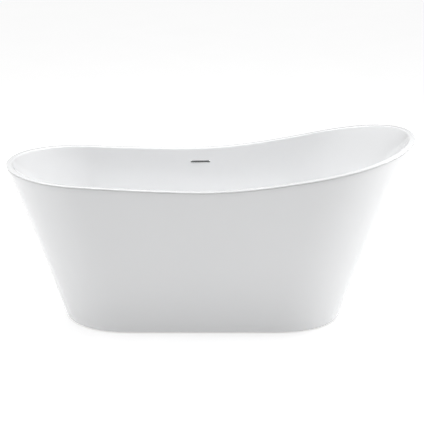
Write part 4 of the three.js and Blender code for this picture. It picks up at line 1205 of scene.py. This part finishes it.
def trim_rings():
    """From the sleeve's far end, in over its bore, round the lip and back along the outside."""
    lip = math.tan(SLOT_LEAN)
    levels = [(0, TRIM_END, 0), (0, 0.004, 0), (0, 0.001, lip), (0.0001, -0.0009, lip)]
    levels += [(0.0004, -0.0015, lip), (0.0008, -0.0016, lip), (0.0014, -0.00158, lip)]
    levels += [(0.0019, -0.0013, lip), (0.002, -0.0009, lip)]
    levels += [(0.00185, -0.0006, lip), (0.00082, -0.0006, lip), (0.0008, -0.0002, lip), (0.0008, 0.003, 0)]
    levels += [(0.0008, TRIM_END, 0)]
    return [stadium(grown, depth, lean, 14) for grown, depth, lean in levels]


trim = place("slot_trim", outward(loft(trim_rings(), closed=True)), CHROME, "overflow_trim", crease=50)

BOX_WIDE, BOX_HIGH, BOX_LOW, BOX_WALL = 0.096, 0.02, -0.17, 0.002
# The basin's back and the skirt's inside, from the slot, at the box's two ends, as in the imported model.
NEAR_TOP, FAR_TOP, NEAR_LOW, FAR_LOW = 0.0125495, 0.0265495, -0.0303851, -0.0011478


def overflow_shape(inset, edge):
    near, far = 0.0024 + inset, -0.0018 - inset
    corners = [
        (NEAR_TOP + near, BOX_HIGH - inset),
        (NEAR_LOW + near, BOX_LOW + inset),
        (FAR_LOW + far, BOX_LOW + inset),
        (FAR_TOP + far, BOX_HIGH - inset),
    ]
    points = eased_outline(corners, [edge] * 4)
    half = BOX_WIDE / 2 - inset
    return outward(loft([[SLOT_FRAME @ Vector((x, p.x, p.y)) for p in points] for x in (-half, half)]))


hose_frame = Matrix.Translation(HOSE_TOP) @ Matrix.Rotation(-HOSE_LEAN, 4, "X")
spigot, spigot_bore = rod(SPIGOT, -0.016, 0.006), rod(BRANCH_BORE, -0.021, 0.01)
for tube in (spigot, spigot_bore):
    tube.transform(hose_frame)
mouth = slot_bar(TRIM_WALL + FIT, -0.02, (NEAR_TOP + FAR_TOP) / 2)
box_mesh = joined(overflow_shape(0, 0.0016), spigot)
box_mesh = drilled(box_mesh, overflow_shape(BOX_WALL, 0.0008), mouth, spigot_bore)
place("overflow_box", box_mesh, PIPE_PLASTIC, "overflow_body")

gasket = frame["nodes"]["overflow_gasket"]
gasket.data.materials.clear()
gasket.data.materials.append(SEAL_RUBBER)
print("overflow made; trim", len(trim.data.polygons), "faces")

# %% [markdown]
# ## Hose clamps
# A worm-drive clamp grips the hose on each spigot. Its band is a thin strip with rolled edges, and the
# screw lies along it in a pressed housing.

# %% Make the clamps
def clamp():
    inner = HOSE_RADIUS + FIT
    band = ring_piece(inner, inner + 0.001, -0.004, 0.004, 0.0004)
    housing = plate(0.0066, 0.0039, 0.0012, -0.0039, 0.0039, 0.0006)
    housing.transform(Matrix.Translation((inner + 0.0038, 0, 0)))
    worm = rod(0.0017, -0.0019, 0.00195, sides=20)
    lying = Matrix.Translation((inner + 0.0044, 0, 0)) @ Matrix.Rotation(math.pi / 2, 4, "X")
    worm.transform(lying)
    slot = bar(0.0026, 0.0006, 0.0014, 0.003)
    slot.transform(lying)
    return drilled(joined(band, housing, worm), slot)


CLAMP_IN = 0.007  # from the hose's end to the clamp's middle
branch_end = Matrix.Translation((SLOT_X, HOSE_END_Y + CLAMP_IN, BRANCH_Z))
branch_end = branch_end @ Matrix.Rotation(math.pi / 2, 4, "X")
CLAMPS = {"top": hose_frame @ Matrix.Translation((0, 0, -CLAMP_IN)), "bottom": branch_end}
for end, clamp_frame in CLAMPS.items():
    clamp_mesh = clamp()
    clamp_mesh.transform(clamp_frame)
    place(f"clamp_at_{end}", clamp_mesh, STAINLESS, f"hose_clamp_{end}")
print(len(made_pieces), "pieces made")

# %% [markdown]
# ## Studio
# The bath stands on a plain white floor under a broad, soft light from above. The sky is dark low down
# towards the camera and the skirt's white is painted darker than the basin's, as painted shade, so the
# white skirt reads as pale grey against the floor, and a light at each side brightens its ends. Two soft
# boxes overhead light the basin, and two weaker strips add the small bright shapes inside it. One even
# light all round would be simpler, but a white bath on a white floor would lose its shape in it.

# %% Floor, sky and lights
floor_mesh = bpy.data.meshes.new("floor")
FAR = 90
floor_mesh.from_pydata([(-FAR, -FAR, 0), (FAR, -FAR, 0), (FAR, FAR, 0), (-FAR, FAR, 0)], [], [(0, 1, 2, 3)])
floor = bpy.data.objects.new("floor", floor_mesh)
scene.collection.objects.link(floor)
paper = Finish("white_paper", Emission_Strength=0.53, Specular_IOR_Level=0.1)
paper.shader.inputs["Emission Color"].default_value = (1, 1, 1, 1)
paper.colour(paper.between(paper.noise(3), (0.7, 0.7, 0.7), (0.74, 0.74, 0.74))).roughness(0.9)
floor_mesh.materials.append(paper.material)

world = bpy.data.worlds.new("studio")
scene.world = world
world.use_nodes = True
sky = Nodes(world.node_tree)
towards = sky.node("ShaderNodeTexCoord", output="Generated")
parts = sky.node("ShaderNodeSeparateXYZ", inputs={0: towards})
up = Field(sky, parts.socket.node.outputs["Z"])
back = Field(sky, parts.socket.node.outputs["Y"])
CEILING = 0.82
WALLS = 0.05
BACK_WALL = 0.2
SMOOTH = {"interpolation_type": "SMOOTHSTEP"}
high = sky.node("ShaderNodeMapRange", SMOOTH, {0: up, 1: 0.3, 2: 0.95, 3: 0.0, 4: CEILING})
behind = sky.node("ShaderNodeMapRange", SMOOTH, {0: back, 1: -0.2, 2: 0.8, 3: WALLS, 4: BACK_WALL})
glow = world.node_tree.nodes["Background"]
glow.inputs["Color"].default_value = (1, 1, 1, 1)
sky.feed(glow.inputs["Strength"], high + behind)


def soft_box(name, size, at, aim, power):
    light = bpy.data.lights.new(name, "AREA")
    light.shape = "RECTANGLE"
    light.size, light.size_y = size
    light.energy = power
    lamp = bpy.data.objects.new(name, light)
    lamp.location = at
    lamp.rotation_euler = (Vector(aim) - Vector(at)).to_track_quat("-Z", "Y").to_euler()
    scene.collection.objects.link(lamp)


soft_box("right_light", (1.6, 1.2), (3.0, -0.3, 0.8), (0.3, 0, 0.3), 19)
soft_box("left_light", (1.6, 1.8), (-3.0, -0.6, 1.1), (-0.3, 0, 0.4), 10)
soft_box("right_box", (0.7, 1.7), (1.7, 0.35, 3.1), (-0.2, 0, 0.4), 41)
soft_box("left_box", (0.7, 1.7), (-1.0, 0.3, 3.1), (0.2, 0, 0.4), 31)
soft_box("right_strip", (0.3, 1.0), (1.6, -0.5, 3.2), (-0.6, 0, 0.4), 3)
soft_box("left_strip", (0.3, 1.0), (-1.6, -0.5, 3.2), (0.6, 0, 0.5), 8)
print("studio lit")
